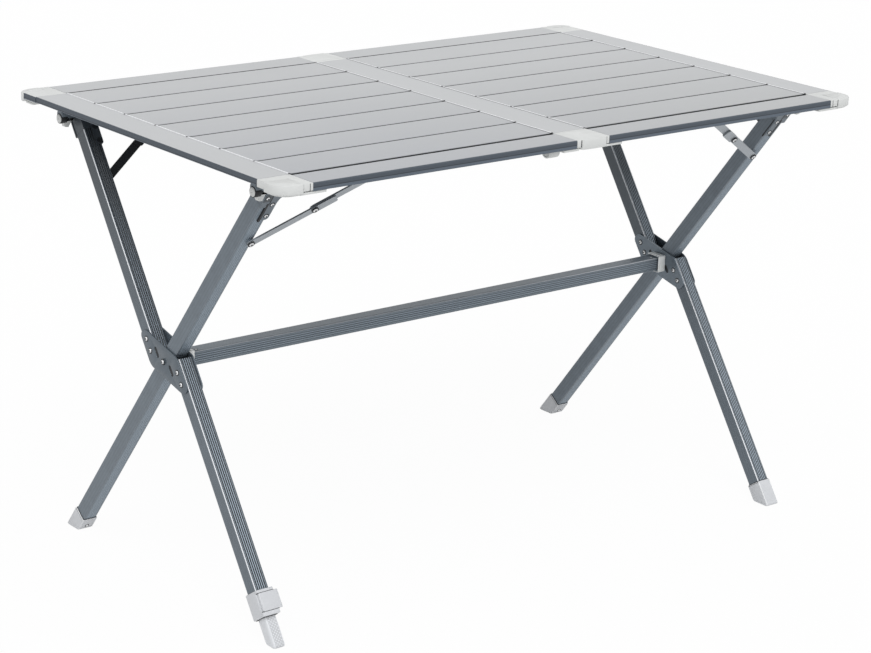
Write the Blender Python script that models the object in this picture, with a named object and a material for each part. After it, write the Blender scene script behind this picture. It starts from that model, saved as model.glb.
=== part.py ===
"""Folding aluminium camping table: a slatted top on two crossed leg sets.

X runs along the long side, Y towards the rear and Z up. The origin is on the
floor under the middle of the top. All lengths are in metres.

Each leg set has a cross leg in one piece and a split leg in two offset pieces.
The split leg is riveted between two plates and the cross leg turns between
them, so that the closed legs lie side by side. A leg is described by u, inward
from its centre line, s, up along it from the pivot, and t, out to the face
that carries the folding stay.
"""
from math import asin, atan2, cos, degrees, hypot, pi, sin

import bmesh
import bpy
from mathutils import Matrix, Vector

# Overall size of the table
TABLE_LENGTH = 1.100
TABLE_WIDTH = 0.700
TABLE_HEIGHT = 0.700

# Running and seating gaps
SEAT_GAP = 0.0003
SLIDE_GAP = 0.0004
PIN_GAP = 0.0003

# Slatted top
SLAT_THICKNESS = 0.012
EDGE_SLAT_DEPTH = 0.05425
INNER_SLATS = 7
GAP_FRONT = 0.0070
GAP_BETWEEN = 0.0026
GAP_REAR = 0.0010
SLAT_WALL = 0.0014
SLAT_EDGE_RADIUS = 0.0022
END_PROFILE_WIDTH = 0.053
MIDDLE_PROFILE_WIDTH = 0.062
LEDGE_DEPTH = 0.007
LEDGE_THICKNESS = 0.0015
RIM_HEIGHT = 0.0088
RIM_DEPTH = 0.014
CAP_HEIGHT = 0.0160
CAP_COLLAR_HEIGHT = 0.0105
CAP_BULGE = 0.002
CAP_CORNER_RADIUS = 0.026
CAP_COLLAR = 0.015
HOOK_LENGTH = 0.027
HOOK_WIDTH = 0.018
HOOK_THICKNESS = 0.0022

# Crossed legs
PIVOT_SHARE = 0.5072
REACH_SHARE = 0.395
TUBE_WIDTH = 0.023
TUBE_DEPTH = 0.025
TUBE_WALL = 0.0015
TUBE_CORNER_RADIUS = 0.002
FLUTES = 5
FLUTE_DEPTH = 0.0007
FLUTE_FADE = 0.35
FLUTE_WIDTH = 0.0020
LEG_TOP_DROP = 0.0345
SPLIT_LEG_START = 0.010
SPLIT_OFFSET = 0.026
PLATE_THICKNESS = 0.0022
PLATE_END = 0.060
PLATE_WAIST = 0.008
PLATE_SHOULDER = 0.022
PLATE_RADIUS = 0.008
PLATE_SLOT_LENGTH = 0.0145
PLATE_SLOT_WIDTH = 0.0062
PLATE_SLOT_ALONG = 0.0185
PLATE_SLOT_ACROSS = 0.011
PIVOT_PIN_RADIUS = 0.003
PIVOT_HEAD_RADIUS = 0.0046
HEAD_THICKNESS = 0.0015

# Bar between the leg sets and its open-backed sockets
BAR_DEPTH = 0.025
BAR_HEIGHT = 0.022
SOCKET_WALL = 0.002
SOCKET_LENGTH = 0.015

# Support arms and their brackets
ARM_RADIUS = 0.008
ARM_OUTER_INSET = 0.020
ARM_INNER_END = 0.012
ARM_CHAMFER = 0.001
HINGE_INSET = 0.050
HINGE_PIN_RADIUS = 0.003
SHEET = 0.0023
BRACKET_TAB_DROP = 0.0665
BRACKET_TAB_INNER = 0.0010
BRACKET_TAB_OUTER = 0.0135
BRACKET_CHEEK_EDGE = 0.0125
BRACKET_CHEEK_LAP = 0.003
BRACKET_FILLET = 0.022
BRACKET_STRAP_INNER = 0.0010
STRAP_SHORTER = 0.004

# Two-link folding stays
STAY_FOOT_INSET = 0.006
STAY_FOOT_DROP = 0.116
STAY_HEAD_INSET = 0.171
STAY_WIDTH = 0.013
STAY_PIN_RADIUS = 0.0025
STAY_STOP_LENGTH = 0.035
STAY_STOP_START = 0.008
STAY_STOP_FLANGE = 0.0015
SPACER_RADIUS = 0.005

# Feet
FOOT_WALL = 0.0015
FOOT_COLLAR_HEIGHT = 0.030
FOOT_TOE_RADIUS = 0.006
FOOT_HEEL_RADIUS = 0.003
SPIGOT_LENGTH = 0.022
CLAMP_LIFT = 0.044
CLAMP_LENGTH = 0.039
CLAMP_WALL_U = 0.0032
CLAMP_WALL_T = 0.0022
CLAMP_TUBE_LAP = 0.005
INNER_FOOT_GRIP = 0.036
LEVER_DROP = 0.0048
LEVER_LENGTH = 0.0275
LEVER_RADIUS = 0.0019
LEVER_HINGE_INSET = 0.0015
LEVER_OVERHANG = 0.0035
LEVER_PIN_RADIUS = 0.0011
LEVER_PIN_REACH = 0.0025

ROUND_SIDES = 16
SMALL_SIDES = 12
CORNER_STEPS = 3

# Places that follow from the sizes above
PIVOT_HEIGHT = TABLE_HEIGHT * PIVOT_SHARE
FOOT_REACH = TABLE_WIDTH * REACH_SHARE
LEG_CENTRE_X = TABLE_LENGTH / 2 - END_PROFILE_WIDTH
ARM_OUTER_END = TABLE_LENGTH / 2 - ARM_OUTER_INSET
SLAT_PITCH = (TABLE_WIDTH - 2 * EDGE_SLAT_DEPTH) / INNER_SLATS
CROSS_TILT = atan2(PIVOT_HEIGHT, FOOT_REACH)
SPLIT_TILT = CROSS_TILT + asin(SPLIT_OFFSET / hypot(PIVOT_HEIGHT, FOOT_REACH))
HALF_TUBE = TUBE_WIDTH / 2
HALF_DEPTH = TUBE_DEPTH / 2
PROFILE_BOTTOM = TABLE_HEIGHT - SLAT_THICKNESS - SEAT_GAP - LEDGE_THICKNESS
ARM_HEIGHT = PROFILE_BOTTOM - SEAT_GAP - ARM_RADIUS
GAP_LINE = INNER_SLATS * SLAT_PITCH / 2
END_PROFILE_INNER = TABLE_LENGTH / 2 - END_PROFILE_WIDTH
MIDDLE_PROFILE_EDGE = MIDDLE_PROFILE_WIDTH / 2

# A section drawn in Y and Z that is drawn out along X, and one in X and Z along Y
ALONG_X = Matrix(((0, 0, 1, 0), (1, 0, 0, 0), (0, 1, 0, 0), (0, 0, 0, 1)))
ALONG_Y = Matrix.Rotation(pi / 2, 4, 'X')
ALONG_LEG = Matrix.Rotation(-pi / 2, 4, 'X')
ACROSS_LEG = ALONG_X


def clear_scene():
    """Remove what the file starts with."""
    for thing in list(bpy.data.objects):
        bpy.data.objects.remove(thing, do_unlink=True)


def new_collection(name):
    """Make a collection in the scene."""
    group = bpy.data.collections.new(name)
    bpy.context.scene.collection.children.link(group)
    return group


clear_scene()
TABLE = new_collection("folding_table")
CUTTERS = new_collection("cutters")


def finish(name, colour, roughness, metallic):
    """Make a material with one Principled shader."""
    stuff = bpy.data.materials.new(name)
    stuff.use_nodes = True
    shader = stuff.node_tree.nodes["Principled BSDF"]
    shader.inputs["Base Color"].default_value = (*colour, 1.0)
    shader.inputs["Roughness"].default_value = roughness
    shader.inputs["Metallic"].default_value = metallic
    return stuff


SILVER = ((0.55, 0.56, 0.58), 0.38, 0.9)
GRAPHITE = ((0.15, 0.18, 0.21), 0.42, 0.7)
PALE = ((0.70, 0.72, 0.70), 0.5, 0.0)


def dress(thing, look):
    """Give a piece its own material."""
    thing.data.materials.clear()
    thing.data.materials.append(finish(thing.name + "_finish", *look))


def empty(name, matrix, parent=None):
    """Make a guide that carries pieces on a joint's axis."""
    guide = bpy.data.objects.new(name, None)
    TABLE.objects.link(guide)
    guide.parent = parent
    guide.matrix_local = matrix
    return guide


def place(thing, parent, local, look):
    """Put a piece in the table's collection, under its parent."""
    TABLE.objects.link(thing)
    thing.parent = parent
    thing.matrix_local = local
    if look:
        dress(thing, look)
    return thing


def rounded(corners, radii, steps=CORNER_STEPS):
    """Round the corners of an outline, each with its own radius."""
    outline = []
    count = len(corners)
    if not isinstance(radii, (list, tuple)):
        radii = [radii] * count
    for index, corner in enumerate(corners):
        here = Vector(corner)
        radius = radii[index]
        if radius <= 0:
            outline.append(tuple(here))
            continue
        back = (Vector(corners[index - 1]) - here).normalized()
        ahead = (Vector(corners[(index + 1) % count]) - here).normalized()
        half = back.angle(ahead) / 2
        reach = radius / abs(sin(half) / cos(half))
        centre = here + (back + ahead).normalized() * radius / sin(half)
        start = here + back * reach - centre
        turn = start.angle_signed(here + ahead * reach - centre)
        for step in range(steps + 1):
            outline.append(tuple(centre + Matrix.Rotation(-turn * step / steps, 2) @ start))
    return outline


def rectangle(x_low, y_low, x_high, y_high):
    """Corners of a rectangle."""
    return [(x_low, y_low), (x_high, y_low), (x_high, y_high), (x_low, y_high)]


def circle(x, y, radius, sides=SMALL_SIDES):
    """Points round a circle."""
    turns = [2 * pi * side / sides for side in range(sides)]
    return [(x + radius * cos(turn), y + radius * sin(turn)) for turn in turns]


def slot(start, end, radius, steps=5):
    """Outline with round ends from one centre to the other."""
    start, end = Vector(start), Vector(end)
    heading = atan2(end.y - start.y, end.x - start.x)
    outline = []
    for centre, first in ((end, heading - pi / 2), (start, heading + pi / 2)):
        for step in range(steps + 1):
            turn = first + pi * step / steps
            outline.append((centre.x + radius * cos(turn), centre.y + radius * sin(turn)))
    return outline


def mesh_from_curve(curve_object):
    """Turn a filled curve into a welded mesh whose faces point out."""
    view = bpy.context.evaluated_depsgraph_get()
    mesh = bpy.data.meshes.new_from_object(curve_object.evaluated_get(view))
    bpy.data.objects.remove(curve_object, do_unlink=True)
    shape = bmesh.new()
    shape.from_mesh(mesh)
    bmesh.ops.remove_doubles(shape, verts=shape.verts, dist=0.000005)
    bmesh.ops.recalc_face_normals(shape, faces=shape.faces)
    shape.to_mesh(mesh)
    shape.free()
    return mesh


def extruded(name, loops, low, high, parent=None, local=None, look=None):
    """Draw closed outlines out from low to high; inner outlines are holes."""
    curve = bpy.data.curves.new(name, 'CURVE')
    curve.dimensions = '2D'
    curve.fill_mode = 'BOTH'
    curve.extrude = (high - low) / 2
    for loop in loops:
        spline = curve.splines.new('POLY')
        spline.points.add(len(loop) - 1)
        for point, (x, y) in zip(spline.points, loop):
            point.co = (x, y, 0, 1)
        spline.use_cyclic_u = True
    guide = bpy.data.objects.new(name, curve)
    bpy.context.scene.collection.objects.link(guide)
    bpy.context.view_layer.update()
    mesh = mesh_from_curve(guide)
    mesh.transform(Matrix.Translation((0, 0, (low + high) / 2)))
    return place(bpy.data.objects.new(name, mesh), parent, local or Matrix(), look)


def rod(name, radius, low, high, parent=None, local=None, look=None, sides=ROUND_SIDES, chamfer=0):
    """Make a round bar along its own Z, from low to high."""
    shape = bmesh.new()
    bmesh.ops.create_cone(shape, cap_ends=True, segments=sides, radius1=radius, radius2=radius,
                          depth=high - low)
    bmesh.ops.translate(shape, verts=shape.verts, vec=(0, 0, (low + high) / 2))
    if chamfer:
        rims = [edge for edge in shape.edges if abs(edge.verts[0].co.z - edge.verts[1].co.z) < 1e-6]
        bmesh.ops.bevel(shape, geom=rims, offset=chamfer, segments=1, affect='EDGES', profile=0.5)
    mesh = bpy.data.meshes.new(name)
    shape.to_mesh(mesh)
    shape.free()
    return place(bpy.data.objects.new(name, mesh), parent, local or Matrix(), look)


def combine(body, other, operation):
    """Join another solid to a piece, or cut it out."""
    TABLE.objects.unlink(other)
    CUTTERS.objects.link(other)
    other.hide_render = True
    other.display_type = 'WIRE'
    step = body.modifiers.new(operation.lower(), 'BOOLEAN')
    step.operation = operation
    step.solver = 'EXACT'
    step.object = other
    return body


def join(body, other):
    """Fuse another solid with a piece."""
    return combine(body, other, 'UNION')


def cut(body, other):
    """Cut a solid out of a piece."""
    return combine(body, other, 'DIFFERENCE')


def shift(x=0.0, y=0.0, z=0.0):
    """Move by a distance."""
    return Matrix.Translation((x, y, z))


class Leg:
    """A leg's own directions, at its pivot."""

    def __init__(self, name, side, split):
        self.side = side
        self.split = split
        self.tilt = SPLIT_TILT if split else CROSS_TILT
        lean, rise = cos(self.tilt), sin(self.tilt)
        self.inward = side if split else -side
        rows = ((-1, 0, 0), (0, lean, rise), (0, rise, -lean))
        if not split:
            rows = ((1, 0, 0), (0, -lean, rise), (0, -rise, -lean))
        matrix = Matrix(rows).transposed().to_4x4()
        matrix.translation = (side * LEG_CENTRE_X, 0, PIVOT_HEIGHT)
        self.guide = empty(name + "_axis", matrix)
        self.top_offset = SPLIT_OFFSET if split else 0.0
        self.foot_offset = -self.top_offset
        self.face = self.top_offset + HALF_DEPTH
        self.arm_out = self.face - ARM_RADIUS
        self.arm_up = (ARM_HEIGHT - PIVOT_HEIGHT + self.arm_out * lean) / rise
        self.top = self.arm_up - LEG_TOP_DROP

    def span(self, inner, outer):
        """Low and high along the guide's X for a stretch of u."""
        ends = sorted((self.inward * inner, self.inward * outer))
        return ends[0], ends[1]

    def point(self, inward, up):
        """A point of an outline on the leg's face."""
        return (self.inward * inward, up)

    def floor(self, out, height=0.0):
        """How far along the leg a height above the floor lies."""
        return (height - PIVOT_HEIGHT + out * cos(self.tilt)) / sin(self.tilt)


def tube_section(width, depth, wall, flutes=FLUTES):
    """Box section with shallow flutes along its two faces across the depth."""
    half_w, half_d = width / 2, depth / 2
    pitch = (width - 2 * TUBE_CORNER_RADIUS - FLUTE_WIDTH) / flutes
    centres = [pitch * (index - (flutes - 1) / 2) for index in range(flutes)]
    face = []
    for centre in centres:
        depth = FLUTE_DEPTH * (1 - FLUTE_FADE * abs(centre) / half_w)
        face.append((centre - FLUTE_WIDTH / 2, -half_d))
        face.append((centre, -half_d + depth))
        face.append((centre + FLUTE_WIDTH / 2, -half_d))
    low, high = TUBE_CORNER_RADIUS, TUBE_CORNER_RADIUS
    box = rounded(rectangle(-half_w, -half_d, half_w, half_d), [low, low, high, high])
    first = CORNER_STEPS + 1
    outer = box[:first] + face + box[first:3 * first]
    outer = outer[:] + [(-x, -y) for x, y in face] + box[3 * first:]
    inner = rectangle(-half_w + wall, -half_d + wall, half_w - wall, half_d - wall)
    return [outer, inner]


def leg_tube(name, leg, offset, low, high):
    """Fluted tube along a leg."""
    local = shift(z=offset) @ ALONG_LEG
    return extruded(name, tube_section(TUBE_WIDTH, TUBE_DEPTH, TUBE_WALL), low, high,
                    leg.guide, local, GRAPHITE)


def stay_spacer(leg, tube):
    """Fixed washer that holds the stay's foot off the leg."""
    base = shift(leg.inward * STAY_FOOT_INSET, leg.arm_up - STAY_FOOT_DROP)
    root = leg.face - (TUBE_WALL + FLUTE_DEPTH) / 2
    spacer = rod(tube.name + "_spacer", SPACER_RADIUS, root, leg.face + SHEET, leg.guide, base)
    join(tube, spacer)


def cross_leg(name, leg, foot_end):
    """One-piece leg with the hole for the pivot pin."""
    tube = leg_tube(name, leg, 0.0, foot_end, leg.top)
    drill = rod(name + "_drill", PIVOT_PIN_RADIUS + PIN_GAP, -TUBE_WIDTH, TUBE_WIDTH, leg.guide, ACROSS_LEG)
    cut(tube, drill)
    stay_spacer(leg, tube)
    return tube


def split_leg(label, leg, foot_end):
    """Upper and lower tube of the split leg, offset to either side of the pivot."""
    upper = leg_tube("split_leg_upper_" + label, leg, SPLIT_OFFSET, SPLIT_LEG_START, leg.top)
    stay_spacer(leg, upper)
    leg_tube("split_leg_lower_" + label, leg, -SPLIT_OFFSET, foot_end, -SPLIT_LEG_START)


def plate_loops(hole_radius):
    """Rounded parallelogram that spans both offset tubes, with its two slots."""
    reach = SPLIT_OFFSET + HALF_DEPTH
    corners = [(PLATE_END, reach), (PLATE_END, PLATE_SHOULDER), (-PLATE_WAIST, -reach)]
    corners += [(-x, -y) for x, y in corners]
    loops = [rounded(corners, PLATE_RADIUS)]
    half = (PLATE_SLOT_LENGTH - PLATE_SLOT_WIDTH) / 2
    for sign in (1, -1):
        along, across = sign * PLATE_SLOT_ALONG, sign * PLATE_SLOT_ACROSS
        loops.append(slot((along - half, across), (along + half, across), PLATE_SLOT_WIDTH / 2, 4))
    if hole_radius:
        loops.append(circle(0, 0, hole_radius))
    return loops


def outer_plate(label, leg):
    """Outer scissor plate with the pivot pin."""
    near, far = -HALF_TUBE - SEAT_GAP, -HALF_TUBE - SEAT_GAP - PLATE_THICKNESS
    low, high = leg.span(near, far)
    plate = extruded("plate_outer_" + label, plate_loops(0), low, high, leg.guide, ACROSS_LEG, GRAPHITE)
    pin_end = HALF_TUBE + SEAT_GAP + PLATE_THICKNESS / 2
    low, high = leg.span(far + PLATE_THICKNESS / 2, pin_end)
    join(plate, rod(plate.name + "_pin", PIVOT_PIN_RADIUS, low, high, leg.guide, ACROSS_LEG))
    low, high = leg.span(near - PLATE_THICKNESS / 2, far - HEAD_THICKNESS)
    join(plate, rod(plate.name + "_head", PIVOT_HEAD_RADIUS, low, high, leg.guide, ACROSS_LEG))


def inner_plate(label, leg):
    """Inner scissor plate with the open-backed socket for the bar."""
    near = HALF_TUBE + SEAT_GAP
    far = near + PLATE_THICKNESS
    low, high = leg.span(near, far)
    hole = PIVOT_PIN_RADIUS + PIN_GAP
    plate = extruded("plate_inner_" + label, plate_loops(hole), low, high, leg.guide, ACROSS_LEG, GRAPHITE)
    half_y = BAR_DEPTH / 2 + SLIDE_GAP
    half_z = BAR_HEIGHT / 2 + SLIDE_GAP
    outer = rectangle(-half_y - SOCKET_WALL, -half_z - SOCKET_WALL, half_y, half_z + SOCKET_WALL)
    grip = [outer[0], outer[1], (half_y, -half_z), (-half_y, -half_z),
            (-half_y, half_z), (half_y, half_z), outer[2], outer[3]]
    root = far - PLATE_THICKNESS / 3
    at_pivot = shift(leg.side * LEG_CENTRE_X, 0, PIVOT_HEIGHT) @ ALONG_X
    low, high = sorted((-leg.side * root, -leg.side * (far + SOCKET_LENGTH)))
    join(plate, extruded(plate.name + "_grip", [grip], low, high, None, at_pivot))
    low, high = sorted((-leg.side * root, -leg.side * (far + SOCKET_WALL)))
    join(plate, extruded(plate.name + "_end", [outer], low, high, None, at_pivot))


def bar():
    """Fluted bar between the two leg sets."""
    reach = LEG_CENTRE_X - HALF_TUBE - SEAT_GAP - PLATE_THICKNESS - SOCKET_WALL - SEAT_GAP
    loops = [[(y, x) for x, y in loop] for loop in tube_section(BAR_HEIGHT, BAR_DEPTH, TUBE_WALL)]
    extruded("bar", loops, -reach, reach, None, shift(z=PIVOT_HEIGHT) @ ALONG_X, GRAPHITE)


def strap(leg, low, inner):
    """Outline of a riveted strap along a leg's face, up to the cheek."""
    top = leg.arm_up - ARM_RADIUS - SEAT_GAP
    corners = [(inner, low), (BRACKET_TAB_OUTER, low), (BRACKET_TAB_OUTER, top), (inner, top)]
    return rounded([leg.point(x, y) for x, y in corners], [0.005, 0.005, 0, 0], 4)


def bracket(name, leg):
    """Gusset, cheek block over the tube's end and inner strap, with the arm's hinge pin."""
    up, half = leg.arm_up, ARM_RADIUS + 0.0005
    wing_low = up - half
    tab_low = up - BRACKET_TAB_DROP
    cheek_low = leg.top - BRACKET_CHEEK_LAP
    corners = [(BRACKET_TAB_INNER, tab_low), (BRACKET_TAB_OUTER, tab_low),
               (BRACKET_TAB_OUTER, wing_low), (HINGE_INSET + half, wing_low),
               (HINGE_INSET + half, up + half), (-BRACKET_CHEEK_EDGE, up + half),
               (-BRACKET_CHEEK_EDGE, cheek_low), (BRACKET_TAB_INNER, cheek_low)]
    corners = [leg.point(x, y) for x, y in corners]
    radii = [0.005, 0.005, BRACKET_FILLET, 0.007, 0.007, 0.004, 0.001, 0]
    near = leg.face + SEAT_GAP
    plate = extruded(name, [rounded(corners, radii, 4)], near, near + SHEET, leg.guide, Matrix(), GRAPHITE)
    back = leg.face - 2 * ARM_RADIUS - SEAT_GAP
    at_pin = shift(leg.inward * HINGE_INSET, up)
    join(plate, rod(name + "_pin", HINGE_PIN_RADIUS, back - HEAD_THICKNESS / 2, near + SHEET / 2,
                    leg.guide, at_pin, None, SMALL_SIDES))
    join(plate, rod(name + "_head", HINGE_PIN_RADIUS + 0.002, back - HEAD_THICKNESS, back,
                    leg.guide, at_pin, None, SMALL_SIDES))
    far = leg.face - TUBE_DEPTH - SEAT_GAP
    low, high = leg.span(-HALF_TUBE, HALF_TUBE)
    cheek = rectangle(low, leg.top + SEAT_GAP, high, up - ARM_RADIUS - SEAT_GAP)
    join(plate, extruded(name + "_cheek", [cheek], far - SHEET / 2, near + SHEET / 2, leg.guide))
    lap = strap(leg, tab_low + STRAP_SHORTER, BRACKET_STRAP_INNER)
    join(plate, extruded(name + "_strap", [lap], far - SHEET, far, leg.guide))


def support_arm(name, leg):
    """Round arm under the top, drilled for its hinge and for the stay."""
    at_hinge = shift(leg.inward * HINGE_INSET, leg.arm_up, leg.arm_out)
    hinge_x = LEG_CENTRE_X - HINGE_INSET
    low, high = sorted((-leg.inward * (ARM_OUTER_END - hinge_x), leg.inward * (hinge_x - ARM_INNER_END)))
    arm = rod(name, ARM_RADIUS, low, high, leg.guide, at_hinge @ ACROSS_LEG, GRAPHITE, 20, ARM_CHAMFER)
    for inset, radius in ((0.0, HINGE_PIN_RADIUS), (STAY_HEAD_INSET - HINGE_INSET, STAY_PIN_RADIUS)):
        at_hole = at_hinge @ shift(leg.inward * inset)
        cut(arm, rod(name + "_drill", radius + PIN_GAP, -2 * ARM_RADIUS, 2 * ARM_RADIUS,
                     leg.guide, at_hole, None, SMALL_SIDES))


def stay(label, leg):
    """Two links with a knee that stops just straight, from the arm to the leg."""
    head = Vector((STAY_HEAD_INSET, leg.arm_up))
    foot = Vector((STAY_FOOT_INSET, leg.arm_up - STAY_FOOT_DROP))
    knee = (head + foot) / 2
    run = knee - foot
    length = run.length
    pitch = atan2(run.y, leg.inward * run.x)
    turn = Matrix.Rotation(pitch, 4, 'Z')
    below = -leg.inward
    half = STAY_WIDTH / 2
    inner_low = leg.face + SEAT_GAP
    inner_high = inner_low + SHEET
    outer_low = inner_high + SEAT_GAP
    outer_high = outer_low + SHEET

    at_head = shift(*leg.point(head.x, head.y))
    name = "stay_upper_" + label
    upper = extruded(name, [slot((-length, 0), (0, 0), half)], inner_low, inner_high,
                     leg.guide, at_head @ turn, GRAPHITE)
    back = leg.face - 2 * ARM_RADIUS - SEAT_GAP
    join(upper, rod(name + "_pin", STAY_PIN_RADIUS, back - HEAD_THICKNESS / 2, inner_high - SHEET / 2,
                    leg.guide, at_head, None, SMALL_SIDES))
    join(upper, rod(name + "_head", STAY_PIN_RADIUS + 0.0015, back - HEAD_THICKNESS, back,
                    leg.guide, at_head, None, SMALL_SIDES))
    at_knee = shift(*leg.point(knee.x, knee.y))
    join(upper, rod(name + "_knee", STAY_PIN_RADIUS, inner_high - SHEET / 2,
                    outer_high + SEAT_GAP + HEAD_THICKNESS / 2, leg.guide, at_knee, None, SMALL_SIDES))
    join(upper, rod(name + "_cap", STAY_PIN_RADIUS + 0.0015, outer_high + SEAT_GAP,
                    outer_high + SEAT_GAP + HEAD_THICKNESS, leg.guide, at_knee, None, SMALL_SIDES))

    name = "stay_lower_" + label
    edge = below * (half + PIN_GAP + STAY_STOP_FLANGE)
    corners = [(-length - half, -below * half), (STAY_STOP_LENGTH, -below * half),
               (STAY_STOP_LENGTH, edge), (STAY_STOP_START / 2, edge),
               (0, below * half), (-length - half, below * half)]
    strip = rounded(corners, [half * 0.98, 0.004, 0.002, 0.001, 0.004, half * 0.98], 4)
    lower = extruded(name, [strip, circle(0, 0, STAY_PIN_RADIUS + PIN_GAP)], outer_low, outer_high,
                     leg.guide, at_knee @ turn, GRAPHITE)
    flange_low, flange_high = sorted((edge, edge - below * STAY_STOP_FLANGE))
    inset = 0.0001 if edge > 0 else -0.0001
    flange = rectangle(STAY_STOP_START, flange_low - inset, STAY_STOP_LENGTH - 0.004, flange_high - inset)
    join(lower, extruded(name + "_flange", [flange], leg.face + 2 * SEAT_GAP, outer_high - SHEET / 3,
                         leg.guide, at_knee @ turn))
    at_foot = shift(*leg.point(foot.x, foot.y))
    join(lower, rod(name + "_head", STAY_PIN_RADIUS + 0.0015, outer_high - SHEET / 2,
                    outer_high + HEAD_THICKNESS, leg.guide, at_foot, None, SMALL_SIDES))


def plain_foot(name, leg):
    """Foot cap cut off level with the floor, with a spigot that fills the tube's end."""
    centre, half = leg.foot_offset, HALF_DEPTH + FOOT_WALL
    collar = leg.floor(centre, FOOT_COLLAR_HEIGHT)
    outline = [(collar, centre + half), (leg.floor(centre + half), centre + half),
               (leg.floor(centre - half), centre - half), (collar, centre - half)]
    radii = [0.001, FOOT_HEEL_RADIUS, FOOT_TOE_RADIUS, 0.001]
    reach = HALF_TUBE + FOOT_WALL
    cap = extruded(name, [rounded(outline, radii, 4)], -reach, reach, leg.guide, ACROSS_LEG, PALE)
    inside = HALF_TUBE - TUBE_WALL - SLIDE_GAP
    deep = HALF_DEPTH - TUBE_WALL - SLIDE_GAP
    spigot = rectangle(collar - 0.002, centre - deep, collar + SPIGOT_LENGTH, centre + deep)
    join(cap, extruded(name + "_spigot", [spigot], -inside, inside, leg.guide, ACROSS_LEG))
    return collar + SEAT_GAP


class Clamp:
    """Places of the clamp round the adjustable leg's end and of its side lever."""

    def __init__(self, leg):
        self.centre = leg.foot_offset
        self.bottom = leg.floor(self.centre) + CLAMP_LIFT
        self.top = self.bottom + CLAMP_LENGTH
        self.tube_end = self.bottom + CLAMP_TUBE_LAP
        self.wall = HALF_DEPTH + CLAMP_WALL_T
        self.lever_out = self.wall + SEAT_GAP + LEVER_RADIUS
        self.front = self.lever_out + LEVER_RADIUS
        self.lever_high = self.top - LEVER_DROP
        self.lever_low = self.lever_high - LEVER_LENGTH
        self.side = HALF_TUBE + CLAMP_WALL_U
        self.hinge = -self.side + LEVER_HINGE_INSET + LEVER_RADIUS
        self.along = shift(z=self.centre) @ ALONG_LEG


def foot_clamp(leg, clamp):
    """Clamp block with two flanges that hold the lever's pin between them."""
    hole_u, hole_t = HALF_TUBE + SEAT_GAP, HALF_DEPTH + SEAT_GAP
    loops = [rounded(rectangle(-clamp.side, -clamp.wall, clamp.side, clamp.front), 0.003),
             rectangle(-hole_u, -hole_t, hole_u, hole_t)]
    block = extruded("foot_clamp", loops, clamp.bottom, clamp.top, leg.guide, clamp.along, PALE)
    outside = 2 * clamp.front
    notch = rectangle(clamp.lever_low - SEAT_GAP, clamp.centre - outside,
                      clamp.lever_high + SEAT_GAP, clamp.centre - clamp.wall)
    cut(block, extruded("foot_clamp_notch", [notch], -outside, outside, leg.guide, ACROSS_LEG))
    place_pin = clamp.along @ shift(leg.inward * clamp.hinge, clamp.lever_out)
    cut(block, rod("foot_clamp_drill", LEVER_PIN_RADIUS + PIN_GAP, clamp.lever_low - LEVER_PIN_REACH - SEAT_GAP,
                   clamp.lever_high + LEVER_PIN_REACH + SEAT_GAP, leg.guide, place_pin, None, SMALL_SIDES))


def foot_lever(leg, clamp):
    """Side-hinged lever that locks the adjustable foot, with its pin."""
    start = (leg.inward * clamp.hinge, clamp.lever_out)
    end = (leg.inward * (clamp.side + LEVER_OVERHANG), clamp.lever_out)
    lever = extruded("foot_lever", [slot(start, end, LEVER_RADIUS, 6)], clamp.lever_low, clamp.lever_high,
                     leg.guide, clamp.along, PALE)
    pin = rod("foot_lever_pin", LEVER_PIN_RADIUS, clamp.lever_low - LEVER_PIN_REACH,
              clamp.lever_high + LEVER_PIN_REACH, leg.guide, clamp.along @ shift(*start), None, SMALL_SIDES)
    join(lever, pin)


def adjustable_foot(leg, clamp):
    """Inner foot that slides in the leg's end."""
    centre = leg.foot_offset
    reach = HALF_TUBE - TUBE_WALL - SLIDE_GAP
    half = HALF_DEPTH - TUBE_WALL - SLIDE_GAP
    top = clamp.top + INNER_FOOT_GRIP
    outline = [(top, centre + half), (leg.floor(centre + half), centre + half),
               (leg.floor(centre - half), centre - half), (top, centre - half)]
    radii = [0.001, FOOT_HEEL_RADIUS, FOOT_TOE_RADIUS, 0.001]
    extruded("foot_adjustable", [rounded(outline, radii, 4)], -reach, reach, leg.guide, ACROSS_LEG, PALE)


def gap_lines():
    """Y of each gap between slats, and the gap's width, front to rear."""
    widths = [GAP_FRONT] + [GAP_BETWEEN] * (INNER_SLATS - 1) + [GAP_REAR]
    return [(-GAP_LINE + SLAT_PITCH * index, width) for index, width in enumerate(widths)]


def slat_edges():
    """Front and rear edge of each slat, front to rear."""
    lines = gap_lines()
    fronts = [-TABLE_WIDTH / 2] + [y + width / 2 for y, width in lines]
    rears = [y - width / 2 for y, width in lines] + [TABLE_WIDTH / 2]
    return list(zip(fronts, rears))


def slat(name, front, rear, low, high):
    """Hollow slat with two inner ribs and rounded top edges."""
    top, bottom = TABLE_HEIGHT, TABLE_HEIGHT - SLAT_THICKNESS
    radii = [0.0005, 0.0005, SLAT_EDGE_RADIUS, SLAT_EDGE_RADIUS]
    loops = [rounded(rectangle(front, bottom, rear, top), radii)]
    cells = 3
    cell = (rear - front - SLAT_WALL * (cells + 1)) / cells
    for index in range(cells):
        start = front + SLAT_WALL + index * (cell + SLAT_WALL)
        loops.append(rectangle(start, bottom + SLAT_WALL, start + cell, top - SLAT_WALL))
    extruded(name, loops, low, high, None, ALONG_X, SILVER)


def slats():
    """Two halves of slats, each between the middle profile and an end profile."""
    low, high = MIDDLE_PROFILE_EDGE + SEAT_GAP, END_PROFILE_INNER - SEAT_GAP
    for number, (front, rear) in enumerate(slat_edges(), 1):
        slat("slat_left_%d" % number, front, rear, -high, -low)
        slat("slat_right_%d" % number, front, rear, low, high)


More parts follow.
